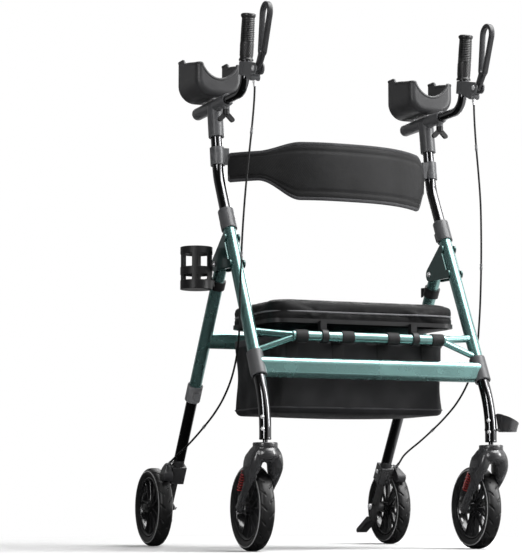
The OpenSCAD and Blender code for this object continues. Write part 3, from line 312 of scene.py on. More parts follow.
@dataclass(frozen=True)
class Moulded(Finish):
    """Moulded plastic: spark-eroded grain, handled patches and pale worn edges."""

    grain: float = 1500.0
    deep: float = 0.00012
    worn: float = 1.6
    spec: float = 0.5

    def sockets(self, tree: Tree) -> dict:
        """Grain bends the normal, slow noise moves the roughness, raised edges go paler.

        Args:
            tree: the material's nodes.

        Returns:
            Inputs of the Principled shader.
        """
        grain = tree.noise(self.grain, 2.0)
        patch_of = tree.noise(22.0, 4.0)
        edge = tree.node("ShaderNodeNewGeometry", out="Pointiness").fade(0.53, 0.62)
        rubbed = edge * tree.noise(90.0, 3.0).fade(0.4, 0.7)
        cloudy = tree.mix(patch_of.fade(0.35, 0.7), self.colour, lighter(self.colour, 1.18))
        return {
            "Base Color": tree.mix(rubbed, cloudy, lighter(self.colour, self.worn)),
            "Roughness": self.rough + 0.14 * patch_of - 0.07,
            "Specular IOR Level": self.spec,
            "Normal": tree.bump(grain, self.deep, 0.5),
        }


@dataclass(frozen=True)
class Rubber(Finish):
    """Tyre and grip rubber: dull, finely pitted, with pale dust in patches."""

    dust: float = 0.25
    pits: float = 900.0

    def sockets(self, tree: Tree) -> dict:
        """Dust lightens by slow noise, pits bend the normal.

        Args:
            tree: the material's nodes.

        Returns:
            Inputs of the Principled shader.
        """
        dusty = tree.noise(35.0, 6.0).fade(0.48, 0.75) * self.dust
        pits = tree.noise(self.pits, 3.0)
        return {
            "Base Color": tree.mix(dusty, self.colour, (0.30, 0.29, 0.28)),
            "Roughness": self.rough + 0.12 * pits - 0.06,
            "Specular IOR Level": 0.45,
            "Normal": tree.bump(pits, 0.00012, 0.5),
        }


@dataclass(frozen=True)
class Vinyl(Finish):
    """Coated seat cloth: cellular grain and soft creases, its colour darker in the creases' hollows as painted
    shade.
    """

    cells: float = 620.0

    def sockets(self, tree: Tree) -> dict:
        """Cell edges and slow creases make one height; the creases also darken the colour in their hollows, a
        painted shade; cell tops shine a little more.

        Args:
            tree: the material's nodes.

        Returns:
            Inputs of the Principled shader.
        """
        cell = tree.node(
            "ShaderNodeTexVoronoi", {"feature": "DISTANCE_TO_EDGE"},
            {"Vector": tree.place(), "Scale": self.cells},
        ).fade(0.0, 0.25)
        crease = tree.noise(16.0, 3.0, (1.0, 1.6, 2.0))
        return {
            # Painted shade: the colour goes darker in the creases' hollows and paler on their ridges.
            "Base Color": tree.mix(crease.fade(0.4, 0.75), self.colour, lighter(self.colour, 1.45)),
            "Roughness": self.rough + 0.12 * (1 - cell),
            "Specular IOR Level": 0.12,
            "Normal": tree.bump(cell * 0.4 + crease * 2.0, 0.0006, 0.5),
        }


@dataclass(frozen=True)
class Woven(Finish):
    """Woven nylon: threads over and under along two of the object's axes, with lint, and painted shade between
    the threads.
    """

    thread: float = 0.0014
    along: tuple = (1.0, 0.6, 0.0)
    across: tuple = (0.0, 0.3, 1.0)
    deep: float = 0.0004
    lint: float = 1.6

    def wave(self, tree: Tree, axis: tuple) -> Sock:
        """A thread's round back: the sine of the place along an axis, one wave per two threads."""
        ends = {0: tree.place(), 1: axis}
        dot = tree.node("ShaderNodeVectorMath", {"operation": "DOT_PRODUCT"}, ends, out="Value")
        return tree.math("SINE", dot * (np.pi / self.thread))

    def sockets(self, tree: Tree) -> dict:
        """Product of the two waves is the weave's height, which also pales the thread tops against darker
        hollows as painted shade; slow noise fades and wrinkles the cloth.

        Args:
            tree: the material's nodes.

        Returns:
            Inputs of the Principled shader.
        """
        weave = self.wave(tree, self.along) * self.wave(tree, self.across)
        worn = tree.noise(18.0, 5.0)
        cloth = tree.mix(worn.fade(0.4, 0.75), self.colour, lighter(self.colour, self.lint))
        return {
            # Painted shade: thread tops are coloured paler than the hollows between them.
            "Base Color": tree.mix(weave.fade(-0.2, 1.0) * 0.5, cloth, lighter(self.colour, 1.9)),
            "Roughness": self.rough + 0.1 * worn,
            "Specular IOR Level": 0.25,
            "Sheen Weight": 0.03,
            "Sheen Roughness": 0.35,
            "Normal": tree.bump(weave * 0.5 + tree.noise(28.0, 3.0) * 3.0, self.deep, 0.6),
        }


@dataclass(frozen=True)
class Plated(Finish):
    """Bright zinc plate with fine turning marks."""

    metal: float = 1.0

    def sockets(self, tree: Tree) -> dict:
        """Fine stretched noise moves the roughness and the normal.

        Args:
            tree: the material's nodes.

        Returns:
            Inputs of the Principled shader.
        """
        marks = tree.noise(700.0, 2.0, (1.0, 0.2, 1.0))
        return {
            "Base Color": tree.mix(marks.fade(0.3, 0.7), self.colour, lighter(self.colour, 0.82)),
            "Metallic": self.metal,
            "Roughness": self.rough + 0.12 * marks,
            "Normal": tree.bump(marks, 0.00005, 0.3),
        }


TEAL = Paint("teal_paint", (0.17, 0.325, 0.31), 0.24, 0.85, 1.0)
DARK_TEAL = Paint("dark_teal_paint", (0.02, 0.06, 0.056), 0.3, 0.7, 0.5)
TUBE_BLACK = ((0.13, 0.13, 0.134), 0.11, 1.0, 0.0, 1.1, 0.00001)
GLOSS_BLACK = Paint("gloss_black_paint", *TUBE_BLACK)
FOOT_BLACK = FootPaint("foot_black_paint", *TUBE_BLACK)
BLACK_PLASTIC = Moulded("black_plastic", (0.01, 0.01, 0.0105), 0.42, spec=0.3)
DARK_PLASTIC = Moulded("dark_grey_plastic", (0.022, 0.022, 0.024), 0.36, spec=0.4)
FORK_PLASTIC = Moulded("fork_plastic", (0.027, 0.027, 0.0285), 0.25, 700.0, 0.00003, 1.2, 0.9)
COLLAR_PLASTIC = Moulded("collar_plastic", (0.062, 0.063, 0.066), 0.36, spec=0.45)
GREY_PLASTIC = Moulded("mid_grey_plastic", (0.115, 0.117, 0.122), 0.42)
CRADLE_PLASTIC = Moulded("cradle_plastic", (0.03, 0.03, 0.0315), 0.4, 1100.0, 0.00012, spec=0.45)
RIM_PLASTIC = Moulded("rim_plastic", (0.007, 0.007, 0.0075), 0.16, 900.0, 0.00003, 1.5, 0.6)
TYRE_RUBBER = Rubber("tyre_rubber", (0.008, 0.008, 0.0084), 0.4, 0.03)
# Pale rubber of the tyres' shoulder beads: a painted highlight along each shoulder.
TYRE_HIGHLIGHT = Rubber("tyre_painted_highlight", (0.26, 0.26, 0.262), 0.35, 0.1)
GRIP_RUBBER = Rubber("grip_rubber", (0.012, 0.012, 0.0125), 0.34, 0.04, 1400.0)
SEAT_CLOTH = Vinyl("seat_cloth", (0.005, 0.005, 0.0053), 0.42)
PIPING = Woven("piping_cord", (0.10, 0.10, 0.105), 0.5, 0.0011)
BAG_NYLON = Woven("bag_nylon", (0.009, 0.009, 0.01), 0.52)
WEBBING = Woven(
    "strap_webbing", (0.008, 0.008, 0.0085), 0.55, 0.0022, (0.0, 0.7, 0.7), (1.0, 0.0, 0.0), 0.0007
)
BELT_CLOTH = Woven(
    "belt_cloth", (0.006, 0.006, 0.0064), 0.56, 0.0018, (1.0, 0.5, 0.0), (0.0, 0.0, 1.0), 0.0005
)
BINDING = Woven("edge_binding", (0.03, 0.03, 0.032), 0.55, 0.0012)
STEEL = Plated("bright_plate", (0.82, 0.82, 0.83), 0.3, 0.55)
RED_WIRE = Paint("red_wire", (0.25, 0.011, 0.011), 0.3, 0.0, 0.5, 1.2)
JACKET = Moulded("cable_jacket", (0.005, 0.005, 0.0055), 0.4, 600.0, 0.00003, spec=0.25)


# Surfaces and meshes.


@dataclass
class Surface:
    """One patch of a piece: points in millimetres, faces, and the number of its finish."""

    points: Array
    faces: list
    finish: int = 0

    def on(self, side: Side) -> "Surface":
        """The patch on a side; the left one has X turned over and its faces reversed.

        Args:
            side: the side it goes to.

        Returns:
            The patch, the same one on the right.
        """
        if side is Side.RIGHT:
            return self
        return Surface(self.points * (-1, 1, 1), [f[::-1] for f in self.faces], self.finish)

    def moved(self, by: Array) -> "Surface":
        """The patch moved by an offset."""
        return Surface(self.points + np.asarray(by, float), self.faces, self.finish)


def patch(points: Array, round_u: bool = False, round_v: bool = False, caps: bool = False,
          finish: int = 0) -> Surface:
    """Quads over a grid of points [u, v].

    Args:
        points: the grid.
        round_u: the last row joins the first.
        round_v: the last column joins the first.
        caps: the first and last rows are closed by one face each.
        finish: number of the finish.

    Returns:
        The surface.
    """
    nu, nv = points.shape[:2]
    ids = np.arange(nu * nv).reshape(nu, nv)
    i = np.arange(nu if round_u else nu - 1)[:, None]
    j = np.arange(nv if round_v else nv - 1)[None, :]
    near, far = (i + 1) % nu, (j + 1) % nv
    corners = [ids[i, j], ids[near, j], ids[near, far], ids[i, far]]
    quads = np.stack(corners, -1).reshape(-1, 4).tolist()
    if caps:
        quads += [ids[0].tolist(), ids[-1][::-1].tolist()]
    return Surface(points.reshape(-1, 3), quads, finish)


def oval(half_a: float, half_b: float, power: float = 2.0, count: int = 24) -> Array:
    """Superellipse: a |cos|^(2/p), b |sin|^(2/p) round the circle.

    Args:
        half_a: half width.
        half_b: half height.
        power: 2 is an ellipse, more is squarer.
        count: points round it.

    Returns:
        Pairs (a, b).
    """
    turn = np.linspace(0, 2 * np.pi, count, endpoint=False)
    c, s = np.cos(turn), np.sin(turn)
    return np.stack(
        [half_a * np.sign(c) * np.abs(c) ** (2 / power), half_b * np.sign(s) * np.abs(s) ** (2 / power)], 1
    )


def sweep(path: Array, profile: Array, up: tuple = (1.0, 0.0, 0.0), ring: bool = False,
          finish: int = 0) -> Surface:
    """Profile carried along a path: point = path + a * side + b * lift.

    The side is tangent x up, and the lift is side x tangent.

    Args:
        path: points of the path.
        profile: (a, b) pairs, one set or one per path point.
        up: direction that fixes the profile's turn.
        ring: the path closes on itself.
        finish: number of the finish.

    Returns:
        The surface, with end caps where the path is open.
    """
    step = np.roll(path, -1, 0) - np.roll(path, 1, 0) if ring else np.gradient(path, axis=0)
    tangent = unit(step)
    side = unit(np.cross(tangent, np.asarray(up, float)))
    lift = np.cross(side, tangent)
    shape = profile if profile.ndim == 3 else np.broadcast_to(profile, (len(path), *profile.shape))
    points = path[:, None, :] + shape[..., :1] * side[:, None, :] + shape[..., 1:] * lift[:, None, :]
    return patch(points, ring, True, not ring, finish)


def turned(profile: Array, centre: Array, axis: Array, count: int = 48, ring: bool = False,
           finish: int = 0) -> Surface:
    """Profile turned round an axis: centre + along * axis + radius * (cos e1 + sin e2).

    Args:
        profile: (radius, along) pairs.
        centre: where along is 0.
        axis: direction of the axis.
        count: steps round it.
        ring: the profile closes on itself.
        finish: number of the finish.

    Returns:
        The surface, with end caps where the profile is open.
    """
    axis = unit(axis)
    e1 = unit(np.cross(axis, (0.31, 0.72, 0.62)))
    e2 = np.cross(axis, e1)
    turn = np.linspace(0, 2 * np.pi, count, endpoint=False)
    spoke = np.cos(turn)[:, None] * e1 + np.sin(turn)[:, None] * e2
    profile = np.asarray(profile, float)
    radius, along = profile[:, 0, None, None], profile[:, 1, None, None]
    points = np.asarray(centre, float) + along * axis + radius * spoke
    return patch(points, ring, True, not ring, finish)


def doubled(half: Array) -> Array:
    """Half a profile of (radius, along) pairs up to its middle, with its mirror image after it."""
    return np.vstack([half, half[-2::-1] * (1, -1)])


def evenly(curve: Array, count: int) -> Array:
    """A polyline resampled at equal lengths.

    Args:
        curve: points of the line.
        count: points wanted.

    Returns:
        The new points.
    """
    far = np.r_[0, np.cumsum(np.linalg.norm(np.diff(curve, axis=0), axis=1))]
    at = np.linspace(0, far[-1], count)
    return np.stack([np.interp(at, far, curve[:, k]) for k in range(curve.shape[1])], 1)


def through(points: Array, steps: int = 12) -> Array:
    """Catmull-Rom curve through points.

    Args:
        points: the points.
        steps: steps between two of them.

    Returns:
        Points of the curve.
    """
    points = np.asarray(points, float)
    p = np.vstack([2 * points[0] - points[1], points, 2 * points[-1] - points[-2]])
    t = np.linspace(0, 1, steps, endpoint=False)[None, :, None]
    a, b, c, d = (p[k:len(p) - 3 + k, None, :] for k in range(4))
    square, cube = 2 * a - 5 * b + 4 * c - d, 3 * b - a - 3 * c + d
    curve = 0.5 * (2 * b + (c - a) * t + square * t**2 + cube * t**3)
    return np.vstack([curve.reshape(-1, points.shape[1]), points[-1:]])


def bent(corners: Array, radii: tuple, steps: int = 14) -> Array:
    """Straight runs between corners, each inner corner rounded by an arc of its radius.

    Args:
        corners: points of the corners.
        radii: one radius for each inner corner.
        steps: points on each arc.

    Returns:
        Points of the line.
    """
    corners = np.asarray(corners, float)
    out = [corners[:1]]
    for before, corner, after, radius in zip(corners, corners[1:], corners[2:], radii):
        a, b = unit(before - corner), unit(after - corner)
        half = 0.5 * np.arccos(np.clip(a @ b, -1, 1))
        centre = corner + unit(a + b) * radius / np.sin(half)
        p, q = corner + a * radius / np.tan(half) - centre, corner + b * radius / np.tan(half) - centre
        turn, k = np.pi - 2 * half, np.linspace(0, 1, steps)[:, None]
        out.append(centre + (p * np.sin((1 - k) * turn) + q * np.sin(k * turn)) / np.sin(turn))
    return np.vstack([*out, corners[-1:]])


def round_box(half_x: float, half_y: float, radius: float, count: int) -> Array:
    """Closed outline of a box with round corners, evenly sampled.

    Args:
        half_x: half width.
        half_y: half depth.
        radius: corner radius.
        count: points round it.

    Returns:
        Pairs (x, y).
    """
    corner = np.linspace(0, np.pi / 2, 10)
    inner = np.array([half_x - radius, half_y - radius])
    parts = [
        np.array([sx, sy]) * inner + radius * np.stack([np.cos(corner + k), np.sin(corner + k)], 1)
        for sx, sy, k in ((1, 1, 0), (-1, 1, np.pi / 2), (-1, -1, np.pi), (1, -1, 1.5 * np.pi))
    ]
    loop = np.vstack([*parts, parts[0][:1]])
    return evenly(loop, count + 1)[:-1]


@dataclass(frozen=True)
class Work:
    """How a mesh is finished: angles in degrees, wall, bevel and voxel in millimetres, rounds of relaxing."""

    sharp: float = 40.0
    wall: float = 0.0
    bevel: float = 0.0
    voxel: float = 0.0
    relax: int = 0
    bevel_from: float = 40.0


def stand(name: str, data: bpy.types.ID) -> bpy.types.Object:
    """Puts an object into the scene, at the origin.

    Args:
        name: its name.
        data: its mesh, lamp or camera.

    Returns:
        The object.
    """
    obj = bpy.data.objects.new(name, data)
    bpy.context.scene.collection.objects.link(obj)
    return obj


def points_of(mesh: bpy.types.Mesh) -> Array:
    """Reads a mesh's points.

    Args:
        mesh: the mesh.

    Returns:
        The points in metres.
    """
    flat = np.empty(len(mesh.vertices) * 3)
    mesh.vertices.foreach_get("co", flat)
    return flat.reshape(-1, 3)


def set_points(mesh: bpy.types.Mesh, points: Array) -> None:
    """Moves a mesh's points, given in metres."""
    mesh.vertices.foreach_set("co", points.ravel())
    mesh.update()


def settle(obj: bpy.types.Object) -> None:
    """Bakes an object's modifiers into its mesh.

    Args:
        obj: the object.
    """
    graph = bpy.context.evaluated_depsgraph_get()
    old = obj.data
    obj.data = bpy.data.meshes.new_from_object(obj.evaluated_get(graph))
    obj.modifiers.clear()
    bpy.data.meshes.remove(old)


def clean(mesh: bpy.types.Mesh, outward: bool = True) -> None:
    """Merges doubled points and turns the faces outwards.

    Args:
        mesh: the mesh.
        outward: whether the faces are turned.
    """
    work = bmesh.new()
    work.from_mesh(mesh)
    bmesh.ops.remove_doubles(work, verts=work.verts, dist=MERGE)
    if outward:
        bmesh.ops.recalc_face_normals(work, faces=work.faces)
    work.to_mesh(mesh)
    work.free()


def fuse(obj: bpy.types.Object, voxel: float, relax: int) -> None:
    """Makes one skin of an object's shells by voxels, then rounds its edges.

    Args:
        obj: the object.
        voxel: voxel size in millimetres.
        relax: rounds of relaxing.
    """
    grid = obj.modifiers.new("skin", "REMESH")
    grid.mode, grid.voxel_size = "VOXEL", voxel * MM
    if relax:
        soft = obj.modifiers.new("round", "SMOOTH")
        soft.factor, soft.iterations = 0.5, relax
    settle(obj)


def shade(mesh: bpy.types.Mesh, sharp: float) -> None:
    """Smooth shading with edges sharp past an angle.

    Args:
        mesh: the mesh.
        sharp: the angle in degrees; at 180 no edge is sharp.
    """
    mesh.shade_smooth()
    if sharp < 180:
        mesh.set_sharp_from_angle(angle=np.radians(sharp))


def solid(name: str, surfaces: list, finishes: list, work: Work = Work()) -> bpy.types.Object:
    """An object from surfaces, at the origin, with its place in its mesh.

    Args:
        name: the piece's name.
        surfaces: its patches.
        finishes: finishes by the patches' numbers.
        work: how the mesh is finished.

    Returns:
        The object.
    """
    starts = np.cumsum([0, *[len(s.points) for s in surfaces]])
    points = row(np.vstack([s.points for s in surfaces]))
    faces = [[k + int(at) for k in f] for s, at in zip(surfaces, starts) for f in s.faces]
    mesh = bpy.data.meshes.new(name)
    mesh.from_pydata(points.tolist(), [], faces)
    numbers = np.concatenate([np.full(len(s.faces), s.finish) for s in surfaces])
    mesh.polygons.foreach_set("material_index", numbers.astype(np.int32))
    clean(mesh)
    obj = stand(name, mesh)
    if work.voxel:
        fuse(obj, work.voxel, work.relax)
    for finish in finishes:
        obj.data.materials.append(finish.material())
    shade(obj.data, work.sharp)
    if work.wall:
        thick = obj.modifiers.new("wall", "SOLIDIFY")
        thick.thickness, thick.offset, thick.use_even_offset = work.wall * MM, 0.0, True
    if work.bevel:
        edge = obj.modifiers.new("edge", "BEVEL")
        edge.width, edge.segments, edge.limit_method = work.bevel * MM, 3, "ANGLE"
        edge.angle_limit = np.radians(work.bevel_from)
        edge.harden_normals = True
    return obj


def fit(obj: bpy.types.Object, body: str, stands_for: tuple = ()) -> bpy.types.Object:
    """Puts a piece on its body and the CAD nodes it stands for, and reports it.

    Args:
        obj: the piece.
        body: the body it rides on.
        stands_for: CAD nodes that it replaces.

    Returns:
        The piece.
    """
    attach(obj, body)
    if stands_for:
        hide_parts(*stands_for)
    log.info("%s rides on %s", obj.name, body)
    return obj


def piece(name: str, surfaces: list, finishes: list, body: str, stands_for: tuple = (),
          work: Work = Work(), side: Side = Side.RIGHT) -> bpy.types.Object:
    """Makes a piece on a side and fits it.

    Args:
        name: the piece's name.
        surfaces: its patches, drawn on the right.
        finishes: finishes by the patches' numbers.
        body: the body it rides on.
        stands_for: CAD nodes that it replaces.
        work: how the mesh is finished.
        side: where it goes; the left one is mirrored.

    Returns:
        The piece.
    """
    return fit(solid(name, [s.on(side) for s in surfaces], finishes, work), body, stands_for)


def soften(node: str, body: str, finish: Finish, voxel: float, relax: int) -> bpy.types.Object:
    """A moulded copy of a CAD node with its edges rounded by fusing and relaxing.

    Args:
        node: the CAD node's name.
        body: the body it rides on.
        finish: its finish.
        voxel: voxel size in millimetres.
        relax: rounds of relaxing.

    Returns:
        The new piece.
    """
    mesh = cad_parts[node].data.copy()
    mesh.materials.clear()
    obj = stand(f"moulded_{node}", mesh)
    clean(mesh, outward=False)
    fuse(obj, voxel, relax)
    obj.data.materials.append(finish.material())
    shade(obj.data, 180)
    return fit(obj, body, (node,))


def puff(obj: bpy.types.Object, voxel: float, pressure: float, cap: float, seat: float) -> None:
    """Swells a pad by cloth pressure, holding every point within cap of where it began and above its seat.

    Args:
        obj: the pad, a closed shell.
        voxel: voxel size in millimetres.
        pressure: cloth pressure.
        cap: the furthest a point may move, in millimetres.
        seat: height in metres of what the pad rests on.
    """
    fuse(obj, voxel, 3)
    rest = points_of(obj.data)
    cloth = obj.modifiers.new("cloth", "CLOTH")
    cloth.settings.use_pressure = True
    cloth.settings.uniform_pressure_force = pressure
    cloth.settings.effector_weights.gravity = 0.0
    cloth.settings.quality = 5
    scene = bpy.context.scene
    for step in range(SWELL_STEPS):
        scene.frame_set(step + 1)
    graph = bpy.context.evaluated_depsgraph_get()
    move = points_of(obj.evaluated_get(graph).data) - rest
    far = np.linalg.norm(move, axis=1, keepdims=True)
    held = rest + move * np.minimum(1, cap * MM / np.maximum(far, 1e-9))
    held[:, 2] = np.maximum(held[:, 2], seat)
    obj.modifiers.clear()
    set_points(obj.data, held)
    scene.frame_set(1)


# Camera, light and floor.


@dataclass
class Studio:
    """Camera of the picture, pale floor, soft lamps and a white surround."""

    eye: tuple = (-2113.0, -4401.0, 125.0)
    yaw: float = -22.64
    pitch: float = -6.26
    lens: float = 36.0 * 2000.0 / 557.0
    ambient: float = 0.1
    front_gloss: float = 0.03
    right_gloss: float = 1.0
    rear_gloss: float = 0.2
    pool: tuple = (0.7, 1.6)

    def camera(self) -> None:
        """A low camera turned by yaw and pitch."""
        yaw, pitch = np.radians(self.yaw), np.radians(self.pitch)
        back = Vector((np.sin(yaw) * np.cos(pitch), -np.cos(yaw) * np.cos(pitch), np.sin(pitch)))
        data = bpy.data.cameras.new("eye")
        data.lens, data.sensor_width, data.clip_end = self.lens, 36.0, 100.0
        obj = stand("eye", data)
        obj.location = row(self.eye)
        obj.rotation_euler = (-back).to_track_quat("-Z", "Y").to_euler()
        bpy.context.scene.camera = obj

    def lamp(self, name: str, at: tuple, to: tuple, size: tuple, power: float) -> None:
        """A soft box of a size, aimed at a point.

        Args:
            name: the lamp's name.
            at: its place in metres.
            to: the point it is aimed at.
            size: its width and height.
            power: its power in watts.
        """
        data = bpy.data.lights.new(name, "AREA")
        data.shape, data.size, data.size_y, data.energy = "RECTANGLE", size[0], size[1], power
        obj = stand(name, data)
        obj.location = at
        obj.rotation_euler = (Vector(to) - Vector(at)).to_track_quat("-Z", "Y").to_euler()

    def world(self) -> None:
        """White to the eye and glass, grey to diffuse light, dark to gloss but for upper right and rear."""
        world = bpy.data.worlds.new("surround")
        bpy.context.scene.world = world
        tree = Tree(world)
        rays = ("Is Camera Ray", "Is Transmission Ray", "Is Glossy Ray")
        eye, glass, glossy = tree.outs("ShaderNodeLightPath", rays)
        aim = tree.node("ShaderNodeTexCoord", out="Generated")
        x, y, z = tree.outs("ShaderNodeSeparateXYZ", ("X", "Y", "Z"), {0: aim})
        right, behind = (x + 0.6 * z).fade(0.3, 0.7), y.fade(0.1, 0.9)
        seen = tree.math("MAXIMUM", eye, glass)
        other = self.ambient * (1 - seen) * (1 - glossy)
        gloss = self.front_gloss + self.right_gloss * right + self.rear_gloss * behind
        level = seen + (1 - seen) * glossy * gloss + other
        back = tree.node("ShaderNodeBackground", None, {"Color": (1.0, 1.0, 1.0, 1.0), "Strength": level})
        tree.node("ShaderNodeOutputWorld", None, {"Surface": back})

    def floor(self) -> None:
        """A wide floor, matt white near the walker, plain white further off; to gloss a near-black sheet, a
        painted dark reflection, with a painted bright reflection glowing on the right.
        """
        reach = np.linspace(-9000, 9000, 5)
        grid = np.stack(np.meshgrid(reach, reach, [0.0], indexing="ij"), -1)[:, :, 0]
        obj = solid("floor", [patch(grid)], [])
        made = bpy.data.materials.new("floor_white")
        tree = Tree(made)
        cloudy = tree.mix(tree.noise(3.0, 2.0), (0.80, 0.80, 0.80), (0.84, 0.84, 0.84))
        matt = tree.node("ShaderNodeBsdfPrincipled", None, {"Base Color": cloudy, "Roughness": 0.9})
        glow = tree.node("ShaderNodeEmission", None, {"Color": (1.0, 1.0, 1.0, 1.0), "Strength": 1.0})
        eye, glossy = tree.outs("ShaderNodeLightPath", ("Is Camera Ray", "Is Glossy Ray"))
        across = tree.node("ShaderNodeSeparateXYZ", None, {0: tree.place()}, out="X")
        right = 0.9 * across.fade(0.3, 0.9)
        spot = tree.node("ShaderNodeMapping", None, {"Vector": tree.place(), "Scale": (1.0, 1.0, 0.0)})
        far = tree.node("ShaderNodeVectorMath", {"operation": "LENGTH"}, {0: spot}, out="Value")
        level = eye * (0.05 + 0.95 * far.fade(*self.pool)) + glossy * right
        # Gloss rays see a near-black diffuse sheet here instead of the white floor: a painted dark reflection.
        dark = tree.node("ShaderNodeBsdfDiffuse", None, {"Color": (0.02, 0.02, 0.02, 1.0)})
        under = tree.node("ShaderNodeMixShader", None, {0: glossy, 1: matt, 2: dark})
        both = tree.node("ShaderNodeMixShader", None, {0: level, 1: under, 2: glow})
        tree.node("ShaderNodeOutputMaterial", None, {"Surface": both})
        obj.data.materials.append(made)

    def build(self) -> None:
        """Everything but the object."""
        scene = bpy.context.scene
        scene.view_settings.view_transform = "Standard"
        self.camera()
        self.world()
        self.floor()
        middle = (0.0, 0.0, 0.65)
        self.lamp("left_strip", (-2.9, -2.6, 1.6), middle, (0.7, 2.6), 55.0)
        self.lamp("right_strip", (2.8, -2.2, 1.8), middle, (0.7, 2.4), 110.0)
        self.lamp("top_box", (1.3, -0.9, 3.4), (0.0, 0.0, 0.0), (2.6, 2.6), 170.0)
        self.lamp("rear_box", (1.8, 3.0, 2.2), middle, (1.6, 2.0), 40.0)


# Cables.


@dataclass
class BrakeCable:
    """A brake cable from the lever's housing to the rear brake, in lengths that meet at sleeves."""

    side: Side
    thick: float = 5.0
    route: tuple = (
        (300, -14, 1130), (300, -14, 1100), (302, -13, 1060), (307, -11, 1000), (314, -9, 930),
        (320, -6, 860), (324, 0, 780), (326, 6, 700), (326, 12, 620), (325, 18, 560), (324, 26, 510),
        (323, 44, 460), (322, 80, 410), (321, 134, 366), (320, 200, 330), (320, 270, 300), (320, 340, 273),
        (320, 400.5, 252), (323, 442.4, 237), (328, 474.4, 222), (330, 493.4, 213),
    )
    steps: int = 8

    def build(self) -> None:
        """Four lengths, each running from one body to the next, and a sleeve at each meeting."""
        word = self.side.word
        curve = through(np.array(self.route, float), self.steps) * (self.side.value, 1, 1)
        runs = (
            (0, 3, f"handle_{word}", f"upper_{word}", 1, 3),
            (3, 7, f"upper_{word}", "front_frame", 3, 7),
            (7, 15, "front_frame", "rear_frame", 9, 15),
            (15, 20, "rear_frame", f"rear_foot_{word}", 15, 20),
        )
        names = ("hand", "post", "leg", "foot")
        for number, (first, last, one, two, start, end) in enumerate(runs):
            path = curve[first * self.steps:last * self.steps + 1]
            jacket = sweep(path, oval(self.thick / 2, self.thick / 2, 2, 14))
            obj = solid(f"brake_cable_{names[number]}_{word}", [jacket], [JACKET])
            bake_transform(obj)
            if number == 2:
                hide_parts(f"brake_cable_{word}")
            sleeve = self.sleeve(path, two, names[number])
            log.info("%s blends %s to %s", obj.name, one, two)
        self.barrel()

    def barrel(self) -> None:
        """A bright adjuster under the lever's housing: a closed profile turned round the cable's exit."""
        wall = [
            (2.3, 18.0), (2.3, -2.0), (3.7, -2.0), (3.7, 3.6), (4.8, 4.2), (4.8, 9.2), (3.9, 9.8),
            (3.9, 15.6), (3.1, 18.0),
        ]
        top = np.array(self.route[0], float) * (self.side.value, 1, 1)
        word = self.side.word
        ring = turned(wall + wall[:1], top, (0, 0, -1), 24)
        piece(f"cable_barrel_{word}", [ring], [STEEL], f"handle_{word}")

    def sleeve(self, path: Array, body: str, name: str) -> bpy.types.Object:
        """A crimped end sleeve at the end of a length: a turned profile with two rounded bands.

        Args:
            path: points of the length.
            body: the body it rides on.
            name: the length's name.

        Returns:
            The sleeve.
        """
        aim = unit(path[-1] - path[-3])
        r = self.thick / 2
        profile = [
            (r + 0.1, -11), (r + 0.9, -10.4), (r + 1.1, -8), (r + 0.6, -7), (r + 0.6, -3), (r + 1.1, -2),
            (r + 1.1, 2), (r + 0.6, 3), (r + 0.6, 5), (r + 0.1, 5.6),
        ]
        ring = turned(profile, path[-1], aim, 20)
        return piece(f"cable_sleeve_{name}_{self.side.word}", [ring], [GREY_PLASTIC], body)


# Soft goods.


